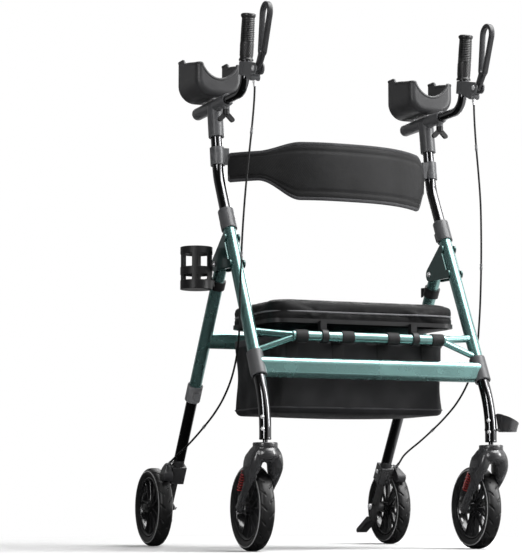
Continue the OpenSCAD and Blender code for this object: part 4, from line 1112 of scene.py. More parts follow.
@dataclass
class SeatPad:
    """The padded seat: a crowned pad swelled by cloth pressure, with a piped seam round its middle."""

    half_x: float = 256.0
    y0: float = -12.0
    y1: float = 280.0
    z0: float = 542.0
    thick: float = 55.0
    crown: float = 4.0
    corner: float = 42.0
    inset: float = 3.0
    pipe: float = 2.2
    seam_points: int = 240

    @property
    def middle(self) -> float:
        """Y of the pad's middle."""
        return (self.y0 + self.y1) / 2

    @property
    def half_y(self) -> float:
        """Half the pad's depth."""
        return (self.y1 - self.y0) / 2

    def shell(self) -> Surface:
        """Rings of the round box scaled by a pillow profile: under face, bulged wall, crowned top.

        Returns:
            The closed pad.
        """
        loop = round_box(self.half_x - self.inset, self.half_y - self.inset, self.corner, 200)
        wall = np.linspace(-np.pi / 2, np.pi / 2, 15)
        under, over = np.linspace(0.05, 0.93, 10), np.linspace(0.93, 0.05, 16)
        scale = np.r_[under, 0.955 + 0.045 * np.cos(wall).clip(0) ** 0.35, over]
        rise = self.thick * (0.5 + 0.5 * np.sin(wall))
        lift = np.r_[np.zeros(len(under)), rise, self.thick + self.crown * (1 - over**3)]
        x = scale[:, None] * loop[None, :, 0]
        y = self.middle + scale[:, None] * loop[None, :, 1]
        z = np.broadcast_to(self.z0 + lift[:, None], x.shape)
        return patch(np.stack([x, y, z], -1), False, True, True)

    def build(self) -> None:
        """Swells the pad, draws the seam in, and lays the piping in it."""
        obj = solid("seat_pad", [self.shell()], [SEAT_CLOTH])
        puff(obj, 5.0, 2.5, 5.0, self.z0 * MM)
        obj.data.materials.clear()
        obj.data.materials.append(SEAT_CLOTH.material())
        seam = self.z0 + 0.56 * self.thick
        loop = self.draw_seam(obj, seam)
        shade(obj.data, 180)
        fine = obj.modifiers.new("fine", "SUBSURF")
        fine.levels = fine.render_levels = 1
        fit(obj, "seat", ("seat_cushion",))
        cord = sweep(loop, oval(self.pipe, self.pipe, 2, 12), (0, 0, 1), True)
        piece("seat_piping", [cord], [PIPING], "seat")

    def draw_seam(self, obj: bpy.types.Object, seam: float) -> Array:
        """Pulls the wall in along the seam, puckers it, and returns the seam's line.

        Args:
            obj: the pad.
            seam: the seam's height in millimetres.

        Returns:
            Points of the seam just outside the pulled-in wall.
        """
        points = points_of(obj.data) / MM - SHIFT
        middle = np.array([0.0, self.middle])
        arm = points[:, :2] - middle
        turn = np.arctan2(arm[:, 1], arm[:, 0])
        reach = np.linalg.norm(arm, axis=1)
        near = np.exp(-(((points[:, 2] - seam) / 5.0) ** 2))
        wall = ease(reach / np.maximum(1e-6, self.edge(turn)), 0.9, 0.97)
        corner = np.exp(-((np.abs(np.abs(turn) - 1.0) / 0.5 - 1) ** 2))
        pucker = 0.7 * np.sin(turn * 150) * np.exp(-(((points[:, 2] - seam) / 14.0) ** 2)) * corner
        pull = (3.2 * near + pucker) * wall
        points[:, :2] -= arm / np.maximum(reach, 1e-6)[:, None] * pull[:, None]
        set_points(obj.data, row(points))
        count = self.seam_points
        angle = np.linspace(-np.pi, np.pi, count, endpoint=False)
        band = np.abs(points[:, 2] - seam) < 4.0
        cell = np.floor((turn[band] + np.pi) / (2 * np.pi) * count).astype(int) % count
        radius = np.zeros(count)
        np.maximum.at(radius, cell, np.hypot(*(points[band, :2] - middle).T))
        known = radius > 0
        radius = np.interp(angle, angle[known], radius[known], period=2 * np.pi)
        kernel = np.ones(5) / 5
        radius = np.convolve(np.r_[radius[-2:], radius, radius[:2]], kernel, "valid") + 0.9
        x, y = radius * np.cos(angle), middle[1] + radius * np.sin(angle)
        return np.stack([x, y, np.full(count, seam)], 1)

    def edge(self, turn: Array) -> Array:
        """Distance from the pad's middle to its round-box edge at an angle.

        Args:
            turn: the angles.

        Returns:
            The distances.
        """
        loop = round_box(self.half_x, self.half_y, self.corner, 400)
        at = np.arctan2(loop[:, 1], loop[:, 0])
        order = np.argsort(at)
        return np.interp(turn, at[order], np.hypot(loop[:, 0], loop[:, 1])[order], period=2 * np.pi)


@dataclass
class CarryBag:
    """Open nylon bag under the seat, hung on webbing round the seat tube."""

    half_x: float = 234.0
    y0: float = 35.0
    y1: float = 288.0
    top: float = 514.0
    low: float = 330.0
    corner: float = 24.0
    straps: tuple = (-183.0, -61.0, 61.0, 183.0)
    pitch: float = 122.0
    hem_dip: float = 5.0
    roll: float = 14.0
    strap_w: float = 32.0
    strap_end: float = 436.0
    tube: tuple = (-21.0, 512.0)
    tube_r: float = 12.7

    @property
    def half_y(self) -> float:
        """Half the bag's depth."""
        return (self.y1 - self.y0) / 2

    def panel(self, x: Array) -> Array:
        """0 at a strap, 1 midway between two: half of 1 - cos, one wave per strap."""
        return 0.5 - 0.5 * np.cos(2 * np.pi * (x + self.pitch / 2) / self.pitch)

    def fall(self, z: Array) -> Array:
        """0 at the bag's top, 1 at its floor."""
        return np.clip((self.top - z) / (self.top - self.low), 0, 1)

    def ends(self, y: Array) -> tuple:
        """How far a place belongs to the front face and to the rear one, by its Y from the middle."""
        return ease(-y / self.half_y, 0.8, 1.0), ease(y / self.half_y, 0.8, 1.0)

    def bulge(self, x: Array, z: Array) -> Array:
        """How far the front cloth stands out: fullest low down and between the straps."""
        gather = ease(z, self.strap_end - 20, self.strap_end + 40)
        return 6.0 * np.sin(np.pi * self.fall(z)) ** 0.8 * (1 - 0.5 * gather * (1 - self.panel(x)))

    def shell(self) -> Surface:
        """Rings of a round box from the hem down, a round lower edge, then rings in to a sagging floor.

        Returns:
            The open bag.
        """
        middle = (self.y0 + self.y1) / 2
        loop = round_box(self.half_x, self.half_y, self.corner, 260)
        fall = np.linspace(0, 1, 26)
        edge = np.linspace(0, np.pi / 2, 7)[1:]
        inner = np.linspace(0.93, 0.04, 14)
        walls, floors, roll = len(fall) + len(edge), len(inner), self.roll
        sides = self.top - fall * (self.top - self.low - roll)
        height = np.r_[sides, self.low + roll * (1 - np.sin(edge)), np.full(floors, self.low)]
        shrink = np.r_[np.zeros(len(fall)), roll * (1 - np.cos(edge)), np.zeros(floors)]
        scale = np.r_[np.ones(walls), inner]
        out = unit(loop)
        x = scale[:, None] * (loop[None, :, 0] - shrink[:, None] * out[None, :, 0])
        y = scale[:, None] * (loop[None, :, 1] - shrink[:, None] * out[None, :, 1])
        x[walls:] *= 1 - roll / self.half_x
        y[walls:] *= 1 - roll / self.half_y
        z = np.broadcast_to(height[:, None], x.shape).copy()
        front, rear = self.ends(y)
        flank = ease(np.abs(x) / self.half_x, 0.85, 1.0)
        swell = self.bulge(x, z)
        y = y - front * swell + rear * swell
        wave = np.sin(y * 0.045 + z * 0.05) + 0.6 * np.sin(y * 0.11 - z * 0.03 + 1.3)
        x = x - np.sign(x) * flank * (6.0 * np.sin(np.pi * self.fall(z)) + 1.1 * wave)
        ripple = np.sin(x * 0.052 + z * 0.028) + 0.7 * np.sin(x * 0.093 - z * 0.061 + 0.7)
        y = y - front * 0.9 * ripple
        dip = self.hem_dip * self.panel(x) * front
        z[:6] -= (dip[:6] + 6.0 * rear[:6]) * np.linspace(1, 0, 6)[:, None]
        floor = np.clip(1 - (x / self.half_x) ** 2, 0, 1) * np.clip(1 - (y / self.half_y) ** 2, 0, 1)
        z -= 7.0 * floor * (np.arange(len(z))[:, None] >= walls)
        return patch(np.stack([x, y + middle, z], -1), False, True, False)

    def front_y(self, x: float, z: Array) -> Array:
        """Y of the bag's front cloth."""
        return self.y0 - self.bulge(np.full(np.shape(z), x), np.asarray(z, float))

    def strap(self, x: float) -> list:
        """A loop of webbing round the seat tube, sewn to the bag's front and running down it.

        Args:
            x: the strap's middle.

        Returns:
            The loop and the run down the front.
        """
        ty, tz = self.tube
        r = self.tube_r + 1.5
        turn = np.linspace(np.radians(-52), np.radians(-305), 30)
        ring = np.stack([np.full(30, x), ty + r * np.cos(turn), tz + r * np.sin(turn)], 1)
        low = [(x, 31.5, 502.0), (x, 22.0, 502.0), (x, 6.0, 501.0)]
        high = [(x, 2.0, 523.0), (x, 18.0, 519.5), (x, 30.5, 515.5), (x, 32.5, 509.0)]
        path = evenly(through(np.vstack([low, ring, high]), 4), 90)
        flat = oval(1.0, self.strap_w / 2, 6, 20)
        z = np.linspace(511.0, self.strap_end, 40)
        down = np.stack([np.full(40, x), self.front_y(x, z) - 1.8, z], 1)
        return [sweep(path, flat), sweep(down, flat)]

    def ring_at(self, z: float, grow: float) -> Array:
        """Closed line round the bag at a height, standing out by grow.

        Args:
            z: the height.
            grow: how far it stands out of the cloth.

        Returns:
            Points of the line.
        """
        loop = round_box(self.half_x + grow, self.half_y + grow, self.corner + grow, 220)
        y = loop[:, 1] + (self.y0 + self.y1) / 2
        front, rear = self.ends(loop[:, 1])
        swell = self.bulge(loop[:, 0], np.full(len(loop), z))
        return np.stack([loop[:, 0], y - front * swell + rear * swell, np.full(len(loop), z)], 1)

    def build(self) -> None:
        """The bag, its hem and bottom seam, and its four straps."""
        bag = solid("carry_bag", [self.shell()], [BAG_NYLON], Work(60, 2.2))
        hem_line = self.ring_at(self.top - 5, 0.4)
        front = ease((self.y0 + 40 - hem_line[:, 1]) / 40.0, 0.2, 1.0)
        hem_line[:, 2] -= self.hem_dip * self.panel(hem_line[:, 0]) * front
        hem = solid("bag_hem", [
            sweep(hem_line, oval(2.0, 8.0, 4, 16), (0, 0, 1), True),
            sweep(self.ring_at(self.low + 13, 0.8), oval(1.9, 1.9, 2, 10), (0, 0, 1), True),
        ], [BINDING])
        straps = solid("bag_straps", [s for x in self.straps for s in self.strap(x)], [WEBBING])
        for obj in (bag, hem, straps):
            fit(obj, "front_frame", ("storage_bag",) if obj is bag else ())
            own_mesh(obj)


@dataclass
class BackBelt:
    """Padded belt bowed between the posts, wide in its middle, with bound edges and a sewn channel."""

    half: float = 273.5
    y: float = 221.75
    bow: float = 132.0
    end_z: float = 951.0
    drop: float = 16.0
    end_h: float = 66.0
    mid_h: float = 138.0
    thick: float = 15.0

    def narrow(self, s: Array) -> Array:
        """0 in the wide middle, 1 at the narrow ends."""
        return ease(-s, 0.46, 0.8) + ease(s, 0.84, 1.0)

    def line(self, s: Array) -> tuple:
        """X, Y, middle Z and half height along the belt at s from -1 to 1."""
        k = self.narrow(s)
        return (
            self.half * s, self.y - self.bow * (1 - np.abs(s) ** 2.6), self.end_z - self.drop * (1 - k),
            0.5 * (self.mid_h + (self.end_h - self.mid_h) * k),
        )

    def pad(self) -> Surface:
        """Superellipse sections along the bow; a sewn groove runs 0.74 of the way out to both edges.

        Returns:
            The closed pad.
        """
        s = np.linspace(-1, 1, 141)
        x, y, z, half = self.line(s)
        normal = unit(np.stack([-np.gradient(y), np.gradient(x)], 1))
        section = oval(1.0, 1.0, 2.7, 72)
        groove = 1 - 0.34 * np.exp(-(((np.abs(section[:, 1]) - 0.74) / 0.045) ** 2))
        deep = self.thick / 2 * section[:, 0] * groove
        ends = (1 - 0.35 * np.abs(s) ** 14)[:, None]
        px = x[:, None] + normal[:, :1] * deep * ends
        py = y[:, None] + normal[:, 1:] * deep * ends
        pz = z[:, None] + half[:, None] * section[None, :, 1]
        return patch(np.stack([px, py, pz], -1), False, True, True)

    def edge(self) -> Array:
        """Closed line round the belt's outline, along its bow.

        Returns:
            Points of the line.
        """
        s = np.linspace(-0.992, 0.992, 120)
        x, y, z, half = self.line(s)
        over, under = np.stack([x, y, z + half], 1), np.stack([x, y, z - half], 1)
        loop = np.vstack([over, under[::-1], over[:1]])
        return evenly(loop, 401)[:-1]

    def build(self) -> None:
        """The pad and its binding, on the left post's body."""
        body, slot = "upper_left", "black_fabric"
        pad = piece("belt_pad", [self.pad()], [BELT_CLOTH], body, ("back_belt",), Work(70))
        bind = sweep(self.edge(), oval(4.6, 4.2, 3, 16), (0.02, 1.0, 0.01), True)
        piece("belt_binding", [bind], [BINDING], body)


# Upper part.


@dataclass
class ArmRest:
    """Moulded arm cradle: round-cornered trough, saddle-shaped front wall, rear ears and a rolled lip."""

    side: Side
    y0: float = 214.0
    length: float = 132.0
    z0: float = 1132.0
    tall: float = 104.0
    half: float = 63.0
    wall: float = 6.0
    corner: float = 44.0
    ear: float = 13.0
    ear_l: float = 40.0
    dip: float = 38.0
    nose: float = 12.0
    fall: float = 11.0
    across: int = 97

    @property
    def base(self) -> float:
        """Height of the side walls before the ears."""
        return self.z0 + self.tall - self.ear

    def section(self, inset: float, top: float) -> Array:
        """U across the trough at an inset, its side walls rising to a top height.

        Args:
            inset: how far it is drawn in.
            top: height of its side walls.

        Returns:
            Points across the trough.
        """
        h, r = self.half - self.wall / 2 - inset, self.corner - self.wall / 2 - inset
        z, base = self.z0 + self.wall / 2 + inset, self.base
        u = evenly(bent([(-h, 0, base), (-h, 0, z), (h, 0, z), (h, 0, base)], (r, r), 18), self.across)
        grow = np.clip((u[:, 2] - (z + r)) / (base - z - r), 0, 1)
        return np.stack([u[:, 0], np.zeros(self.across), u[:, 2] + grow * (top - base)], 1)

    def body(self) -> tuple:
        """Rows of U sections: rounded nose, straight trough and rear ears; then the front wall.

        Returns:
            The patches, and the line along their upper edge.
        """
        base, front = self.base, self.y0 + self.wall / 2
        rows = []
        for a in np.linspace(0, np.pi / 2, 7):
            u = self.section(self.nose * (1 - np.sin(a)), base - self.fall)
            u[:, 1] = front + self.nose * (1 - np.cos(a))
            rows.append(u)
        rear = self.y0 + self.length
        ear_y = rear - self.ear_l
        for y in np.r_[np.linspace(front + self.nose, ear_y, 8)[1:], np.linspace(ear_y, rear, 13)[1:]]:
            low = self.fall * (1 - float(ease(y, self.y0, ear_y)))
            u = self.section(0.0, base - low + self.ear * float(ease(y, ear_y, ear_y + self.ear)))
            u[:, 1] = y
            rows.append(u)
        rows = np.array(rows)
        inner = rows[0]
        x = np.linspace(inner[0, 0], inner[-1, 0], self.across)
        sag = self.dip * np.clip(1 - (x / inner[-1, 0]) ** 2, 0, 1) ** 0.75
        rim = np.stack([x, np.full(self.across, front), base - self.fall - sag], 1)
        share = np.linspace(0, 1, 14)[:, None, None]
        face = inner[None] * (1 - share) + rim[None] * share
        return [patch(rows), patch(face)], np.vstack([rows[::-1, 0], rim[1:-1], rows[:, -1]])

    def build(self) -> None:
        """The cradle with its wall, and the rolled lip along its edge."""
        move, word = np.array([LEG_X, 0, 0]), self.side.word
        body, slot = f"upper_{word}", "black_plastic"
        shells, line = self.body()
        lip = sweep(evenly(line, 170), oval(4.2, 4.2, 2.4, 16), (0.03, 0.05, 1.0)).moved(move)
        piece(f"arm_cradle_{word}", [s.moved(move) for s in shells], [CRADLE_PLASTIC], body,
              (f"arm_trough_{word}",), Work(50, self.wall, 1.6), self.side)
        piece(f"cradle_lip_{word}", [lip], [CRADLE_PLASTIC], body, (), Work(60), self.side)


@dataclass
class HandleSet:
    """Bent handle tube with its ribbed grip, loop brake lever and the lever's pivot screws."""

    side: Side
    tube_r: float = 11.1
    corner_y: float = 50.0
    bend_r: float = 45.0
    rear_y: float = 342.0
    grip_from: float = 74.0
    grip_to: float = 190.0
    grip_r: float = 16.5
    low: tuple = (-64.0, 1192.0)
    high: tuple = (-86.78, 1277.0)
    low_r: float = 16.0
    high_r: float = 28.0
    bar: float = 10.0
    wide: float = 14.0
    pivot: tuple = (-35.0, 1152.0)
    cheek: float = 12.4

    def on_grip(self, v: Array) -> Array:
        """Points along the grip's axis."""
        return np.array([LEG_X, self.corner_y, HANDLE_Z]) + np.asarray(v, float)[..., None] * GRIP_DIR

    def tube(self) -> Surface:
        """Round tube out of the sleeve, bent up into the grip.

        Returns:
            The tube.
        """
        rear, corner = (LEG_X, self.rear_y, HANDLE_Z), (LEG_X, self.corner_y, HANDLE_Z)
        path = bent([rear, corner, self.on_grip(self.grip_to - 3.2)], (self.bend_r,), 24)
        return sweep(path, oval(self.tube_r, self.tube_r, 2, 40))

    def grip(self) -> Surface:
        """Radius over angle and height: end flanges, finger ribs in front, a cross-cut pad below them.

        Returns:
            The grip.
        """
        v = np.linspace(self.grip_from, self.grip_to, 240)[:, None]
        turn = np.linspace(0, 2 * np.pi, 96, endpoint=False)[None, :]
        h = v - self.grip_from
        front = ease(np.cos(turn), 0.05, 0.5)
        ribs = (0.5 + 0.5 * np.cos(2 * np.pi * h / 4.4)) * ease(h, 44, 48) * (1 - ease(h, 100, 104)) * front
        cross = np.abs(np.sin(turn * 9 + h * 0.42) * np.sin(turn * 9 - h * 0.42))
        cut = cross * ease(h, 10, 13) * (1 - ease(h, 42, 46))
        foot = 2.2 * (1 - ease(h, 3.5, 8))
        head = 2.6 * ease(h, 104, 110)
        dome = 2.6 * ease(h, 113, 116) ** 2
        swell = 0.8 * np.sin(np.pi * np.clip(h / 100, 0, 1))
        r = self.grip_r - 0.6 + swell + 1.1 * ribs + 0.8 * cut + foot + head - dome
        ahead = np.array([0, -GRIP_DIR[2], GRIP_DIR[1]])
        spoke = np.cos(turn)[..., None] * ahead + np.sin(turn)[..., None] * np.array([1.0, 0, 0])
        return patch(self.on_grip(v[:, 0])[:, None, :] + r[..., None] * spoke, False, True, True)

    def loop(self, inset: float) -> Array:
        """Closed line round two circles: two arcs joined by straight runs, in the plane X = leg.

        Args:
            inset: how far inside the circles it runs.

        Returns:
            Points of the line.
        """
        a, b = np.array(self.low), np.array(self.high)
        along = unit(b - a)
        across = np.array([along[1], -along[0]])
        tilt = np.arcsin((self.low_r - self.high_r) / np.linalg.norm(b - a))
        down = np.linspace(np.pi - tilt, 2 * np.pi + tilt, 60)[:, None]
        over = np.linspace(tilt, np.pi - tilt, 60)[:, None]
        flat = np.vstack([
            a + (self.low_r - inset) * (np.cos(down) * across + np.sin(down) * along),
            b + (self.high_r - inset) * (np.cos(over) * across + np.sin(over) * along),
        ])
        line = np.column_stack([np.full(len(flat), LEG_X), flat])
        return evenly(np.vstack([line, line[:1]]), 201)[:-1]

    def lever(self) -> list:
        """The loop's flat band, its root arm down to the pivot, and the round pivot eye.

        Returns:
            The three patches.
        """
        band = sweep(self.loop(self.bar / 2), oval(self.bar / 2, self.wide / 2, 4.5, 24), (1, 0, 0), True)
        root = np.array([(LEG_X, -62.0, 1186.0), (LEG_X, -50.0, 1170.0), (LEG_X, *self.pivot)])
        path = evenly(through(root, 8), 20)
        size = np.linspace(12.5, 8.6, 20)[:, None, None] * oval(1, 1, 3.5, 24)
        size[..., 1] *= self.wide / 2 / size[..., 1].max(axis=1, keepdims=True)
        eye = [(2, -6.9), (8.2, -6.9), (9, -6), (9, 6), (8.2, 6.9), (2, 6.9)]
        return [band, sweep(path, size), turned(eye, (LEG_X, *self.pivot), (1, 0, 0), 40)]

    def screws(self) -> list:
        """A low domed screw head with its socket on both cheeks of the housing.

        Returns:
            The two heads.
        """
        head = [(0.01, 4.0), (2.2, 4.0), (2.3, 5.4), (4.6, 5.2), (6.4, 4.0), (6.8, 2.6), (6.8, 0.0)]
        low = np.array(head) * (1, 0.55)
        ways = (-1, 1)
        return [turned(low, (LEG_X + w * self.cheek, *self.pivot), (w, 0, 0), 28) for w in ways]

    def build(self) -> None:
        """Tube, grip, lever, screws."""
        word = self.side.word
        body = f"handle_{word}"
        piece(f"handle_bar_{word}", [self.tube()], [GLOSS_BLACK], body,
              (f"handle_tube_{word}",), side=self.side)
        piece(f"grip_{word}", [self.grip()], [GRIP_RUBBER], body,
              (f"hand_grip_{word}",), Work(60), self.side)
        piece(f"loop_lever_{word}", self.lever(), [DARK_PLASTIC], f"lever_{word}",
              (f"brake_lever_{word}",), Work(180, voxel=1.1, relax=4), self.side)
        piece(f"lever_screws_{word}", self.screws(), [STEEL], body, side=self.side)


@dataclass
class Post:
    """Sliding post, bent above the collar."""

    side: Side
    radius: float = 14.3
    start: float = 399.0
    bend_r: float = 150.0
    under_sleeve: float = 24.0

    def build(self) -> None:
        """Round tube along the leg's line, bent towards upright."""
        foot = KNEE + self.start * FRONT_DIR
        top = POST_BEND + ((HANDLE_Z - BEND_Z) / POST_DIR[2] - self.under_sleeve) * POST_DIR
        path = bent([foot, POST_BEND, top], (self.bend_r,), 24) + (LEG_X, 0, 0)
        bar, word = sweep(path, oval(self.radius, self.radius, 2, 40)), self.side.word
        piece(f"post_bar_{word}", [bar], [GLOSS_BLACK], f"upper_{word}",
              (f"post_{word}",), side=self.side)


# Lower part.


@dataclass
class FrontFoot:
    """Sliding front lower leg, bent upright, with its stem and two snap buttons."""

    side: Side
    radius: float = 14.3
    foot_z: float = 262.0
    bend_r: float = 250.0
    top_t: float = 235.0
    stem_r: float = 6.0
    button_aim: tuple = (-0.75, -0.66, 0.1)
    buttons: tuple = ((-80.0, 284.0), (-78.2, 312.0))

    def build(self) -> None:
        """Round bent tube with a thin stem below, and domed buttons on its face."""
        word = self.side.word
        body = f"front_foot_{word}"
        knee, foot = KNEE + (LEG_X, 0, 0), (LEG_X, STEM_Y, self.foot_z)
        path = bent([foot, knee, knee + self.top_t * FRONT_DIR], (self.bend_r,), 24)
        stem = turned([(self.stem_r, 226.0), (self.stem_r, 262.5)], (LEG_X, STEM_Y, 0), (0, 0, 1), 32)
        plug = turned([(8, -2.2), (13, -2.0), (14.4, -0.8), (14.7, 1.2), (14.3, 3.0)], foot, (0, 0, 1), 40)
        tube = sweep(path, oval(self.radius, self.radius, 2, 40))
        piece(f"front_leg_bar_{word}", [tube, stem, plug], [GLOSS_BLACK], body,
              (f"front_lower_leg_{word}",), side=self.side)
        dome = [(4.8, -2.0), (4.8, 0.6), (4.0, 1.7), (2.2, 2.3), (0.02, 2.5)]
        out = unit(self.button_aim)
        heads = [
            turned(dome, np.array([self.side.value * LEG_X, y, z]) + out * self.radius, out, 20)
            for y, z in self.buttons
        ]
        piece(f"snap_buttons_{word}", heads, [STEEL], body)


@dataclass
class Fork:
    """Moulded caster fork: cap ring, round shoulders, and two raked arms that thin beside the springs."""

    side: Side
    axle: tuple = (0.0, WHEEL_R)
    arm_x: float = 31.0
    arch_r: float = 28.0
    arch_z: float = 187.0
    line: tuple = (
        (8, -80, 238), (19, -79, 229), (26, -75, 214), (30, -64, 195), (31, -49, 172), (31, -31, 149),
        (31, -13, 125), (31, -1, 103), (31, 2.0, 87.0),
    )

    def arm(self, way: int) -> Surface:
        """Superellipse sections: depth ahead, depth behind and thickness go by the way along the arm.

        Args:
            way: -1 for the inner arm, 1 for the outer.

        Returns:
            The arm.
        """
        path = evenly(through(np.array(self.line) * (way, 1, 1) + (LEG_X, 0, 0), 10), 80)
        s = np.linspace(0, 1, 80)
        ahead = np.interp(s, (0, 0.2, 0.45, 0.72, 0.9, 1), (22, 29, 24, 15, 12.5, 12))
        behind = np.interp(s, (0, 0.2, 0.38, 0.47, 0.7, 0.84, 1), (22, 31, 25, 7, 4, 11, 12))
        thick = np.interp(
            s, (0, 0.14, 0.26, 0.38, 0.5, 0.72, 0.9, 1), (16, 17, 16.5, 12.5, 7.2, 6.8, 8.0, 7.6)
        )
        end = np.sqrt(np.clip(1 - np.clip((s - 0.92) / 0.08, 0, 1) ** 2, 0.02, 1))
        shape = oval(1, 1, 2.6, 32)
        deep = np.where(shape[:, 0] > 0, ahead[:, None], behind[:, None]) * shape[:, 0]
        return sweep(path, np.stack([deep, thick[:, None] * shape[:, 1]], -1) * end[:, None, None])

    def arch(self) -> Surface:
        """Half ring over the tyre: its radius times (cos, sin) across the fork, a deep oval section.

        Returns:
            The arch.
        """
        turn = np.linspace(-0.35, np.pi + 0.35, 40)
        c, s = np.cos(turn), np.sin(turn)
        path = [LEG_X + self.arch_r * c, STEM_Y + 3 + 12 * (1 - s), self.arch_z + self.arch_r * s]
        return sweep(np.stack(path, 1), oval(7, 24, 2.6, 24), (0, 1, 0))

    def build(self) -> None:
        """Turned crown and cap, arch, both arms and their axle caps fused to one skin; the axle apart."""
        word = self.side.word
        top = [
            (4, 214), (18, 212.5), (29, 214), (34, 220), (34.8, 227), (32.6, 234), (29, 239.5), (27.2, 241.2),
            (29.4, 242.4), (29.6, 252.6), (28.2, 254), (6.6, 254),
        ]
        shells = [turned(top, (LEG_X, STEM_Y, 0), (0, 0, 1), 72), self.arch(), self.arm(-1), self.arm(1)]
        cap = [(8.6, -3.0), (8.6, 1.4), (6.8, 2.8), (0.02, 3.2)]
        shells += [turned(cap, (LEG_X + w * (self.arm_x + 6.6), *self.axle), (w, 0, 0), 32) for w in (-1, 1)]
        piece(f"caster_fork_{word}", shells, [FORK_PLASTIC], f"caster_{word}",
              (f"fork_{word}",), Work(180, voxel=1.4, relax=7), self.side)
        rod = turned([(4.9, -self.arm_x), (4.9, self.arm_x)], (LEG_X, *self.axle), (1, 0, 0), 24)
        piece(f"front_axle_{word}", [rod], [STEEL], f"caster_{word}", side=self.side)


@dataclass
class ForkSprings:
    """Two red coil springs in the rear edges of a fork's arms."""

    side: Side
    arm_x: float = 36.5
    back: float = 15.5
    crown: tuple = (-76.0, 212.0)
    start: float = 41.0
    coil_r: float = 6.2
    wire: float = 1.25
    core: float = 4.4
    pitch: float = 7.2
    turns: int = 7

    def build(self) -> None:
        """Helix: coil radius times (cos, sin) across the arm plus pitch along it; a wire over a dark rod."""
        rake = np.arctan2(-self.crown[0], self.crown[1] - WHEEL_R)
        along = np.array([0, np.sin(rake), -np.cos(rake)])
        across = np.array([0, np.cos(rake), np.sin(rake)])
        a = np.linspace(0, 2 * np.pi * self.turns, 36 * self.turns + 1)[:, None]
        coils = []
        for way in (-1, 1):
            root = np.array([LEG_X + way * self.arm_x, *self.crown])
            root = root + (self.start + self.wire) * along + self.back * across
            circle = self.coil_r * (np.cos(a) * np.array([1.0, 0, 0]) + np.sin(a) * across)
            path = root + circle + self.pitch * a / (2 * np.pi) * along
            rod = root + np.linspace(-1, self.pitch * self.turns + 1, 6)[:, None] * along
            coils += [
                sweep(path, oval(self.wire, self.wire, 2, 10), tuple(along)),
                sweep(rod, oval(self.core, self.core, 2, 20), finish=1),
            ]
        word = self.side.word
        piece(f"coil_springs_{word}", coils, [RED_WIRE, BLACK_PLASTIC], f"caster_{word}",
              (f"fork_springs_{word}",), side=self.side)


@dataclass
class CaneCup:
    """Small tub for a cane's foot beside the right front leg; its rim falls away from the leg."""

    x: float = 346.3
    y: float = STEM_Y
    z0: float = 286.0
    tall: float = 44.0
    base_r: float = 23.0
    rim_r: float = 28.5
    wall: float = 2.4
    arm_z: float = 291.0

    def tub(self) -> Surface:
        """Rows from the floor's middle out, up the flared wall to the slanted rim, and down again inside.

        Returns:
            The tub.
        """
        turn = np.linspace(0, 2 * np.pi, 80, endpoint=False)[None, :]
        up, down = np.linspace(0.05, 1, 16), np.linspace(1, 0.08, 16)
        share = np.r_[0, 0, up, 1.02, down, 0.08][:, None]
        flare = self.base_r + (self.rim_r - self.base_r) * share**1.4
        flare[:2, 0] = (0.5, self.base_r - 1.5)
        flare[18:, 0] -= np.r_[self.wall / 2, np.full(16, self.wall), self.base_r - self.wall - 0.5]
        tall = share * self.tall * (0.72 - 0.28 * np.cos(turn))
        points = [self.x + flare * np.cos(turn), self.y + flare * np.sin(turn), self.z0 + tall]
        return patch(np.stack(points, -1), False, True, True)

    def build(self) -> None:
        """Tub, a thin band round the leg, and the arm between them."""
        band = [(14.4, 288), (15.2, 288.3), (15.4, 289), (15.4, 293), (15.2, 293.7), (14.4, 294)]
        arm = np.array([(x, self.y, self.arm_z) for x in (LEG_X + 14, LEG_X + 20, self.x - 21)])
        ring = turned(band, (LEG_X, self.y, 0), (0, 0, 1), 48, True, 1)
        shells = [self.tub(), ring, sweep(arm, oval(6, 3, 4, 20), (0, 0, 1))]
        piece("cane_tub", shells, [FORK_PLASTIC, GLOSS_BLACK], "front_foot_right",
              ("cane_cup",), Work(50))


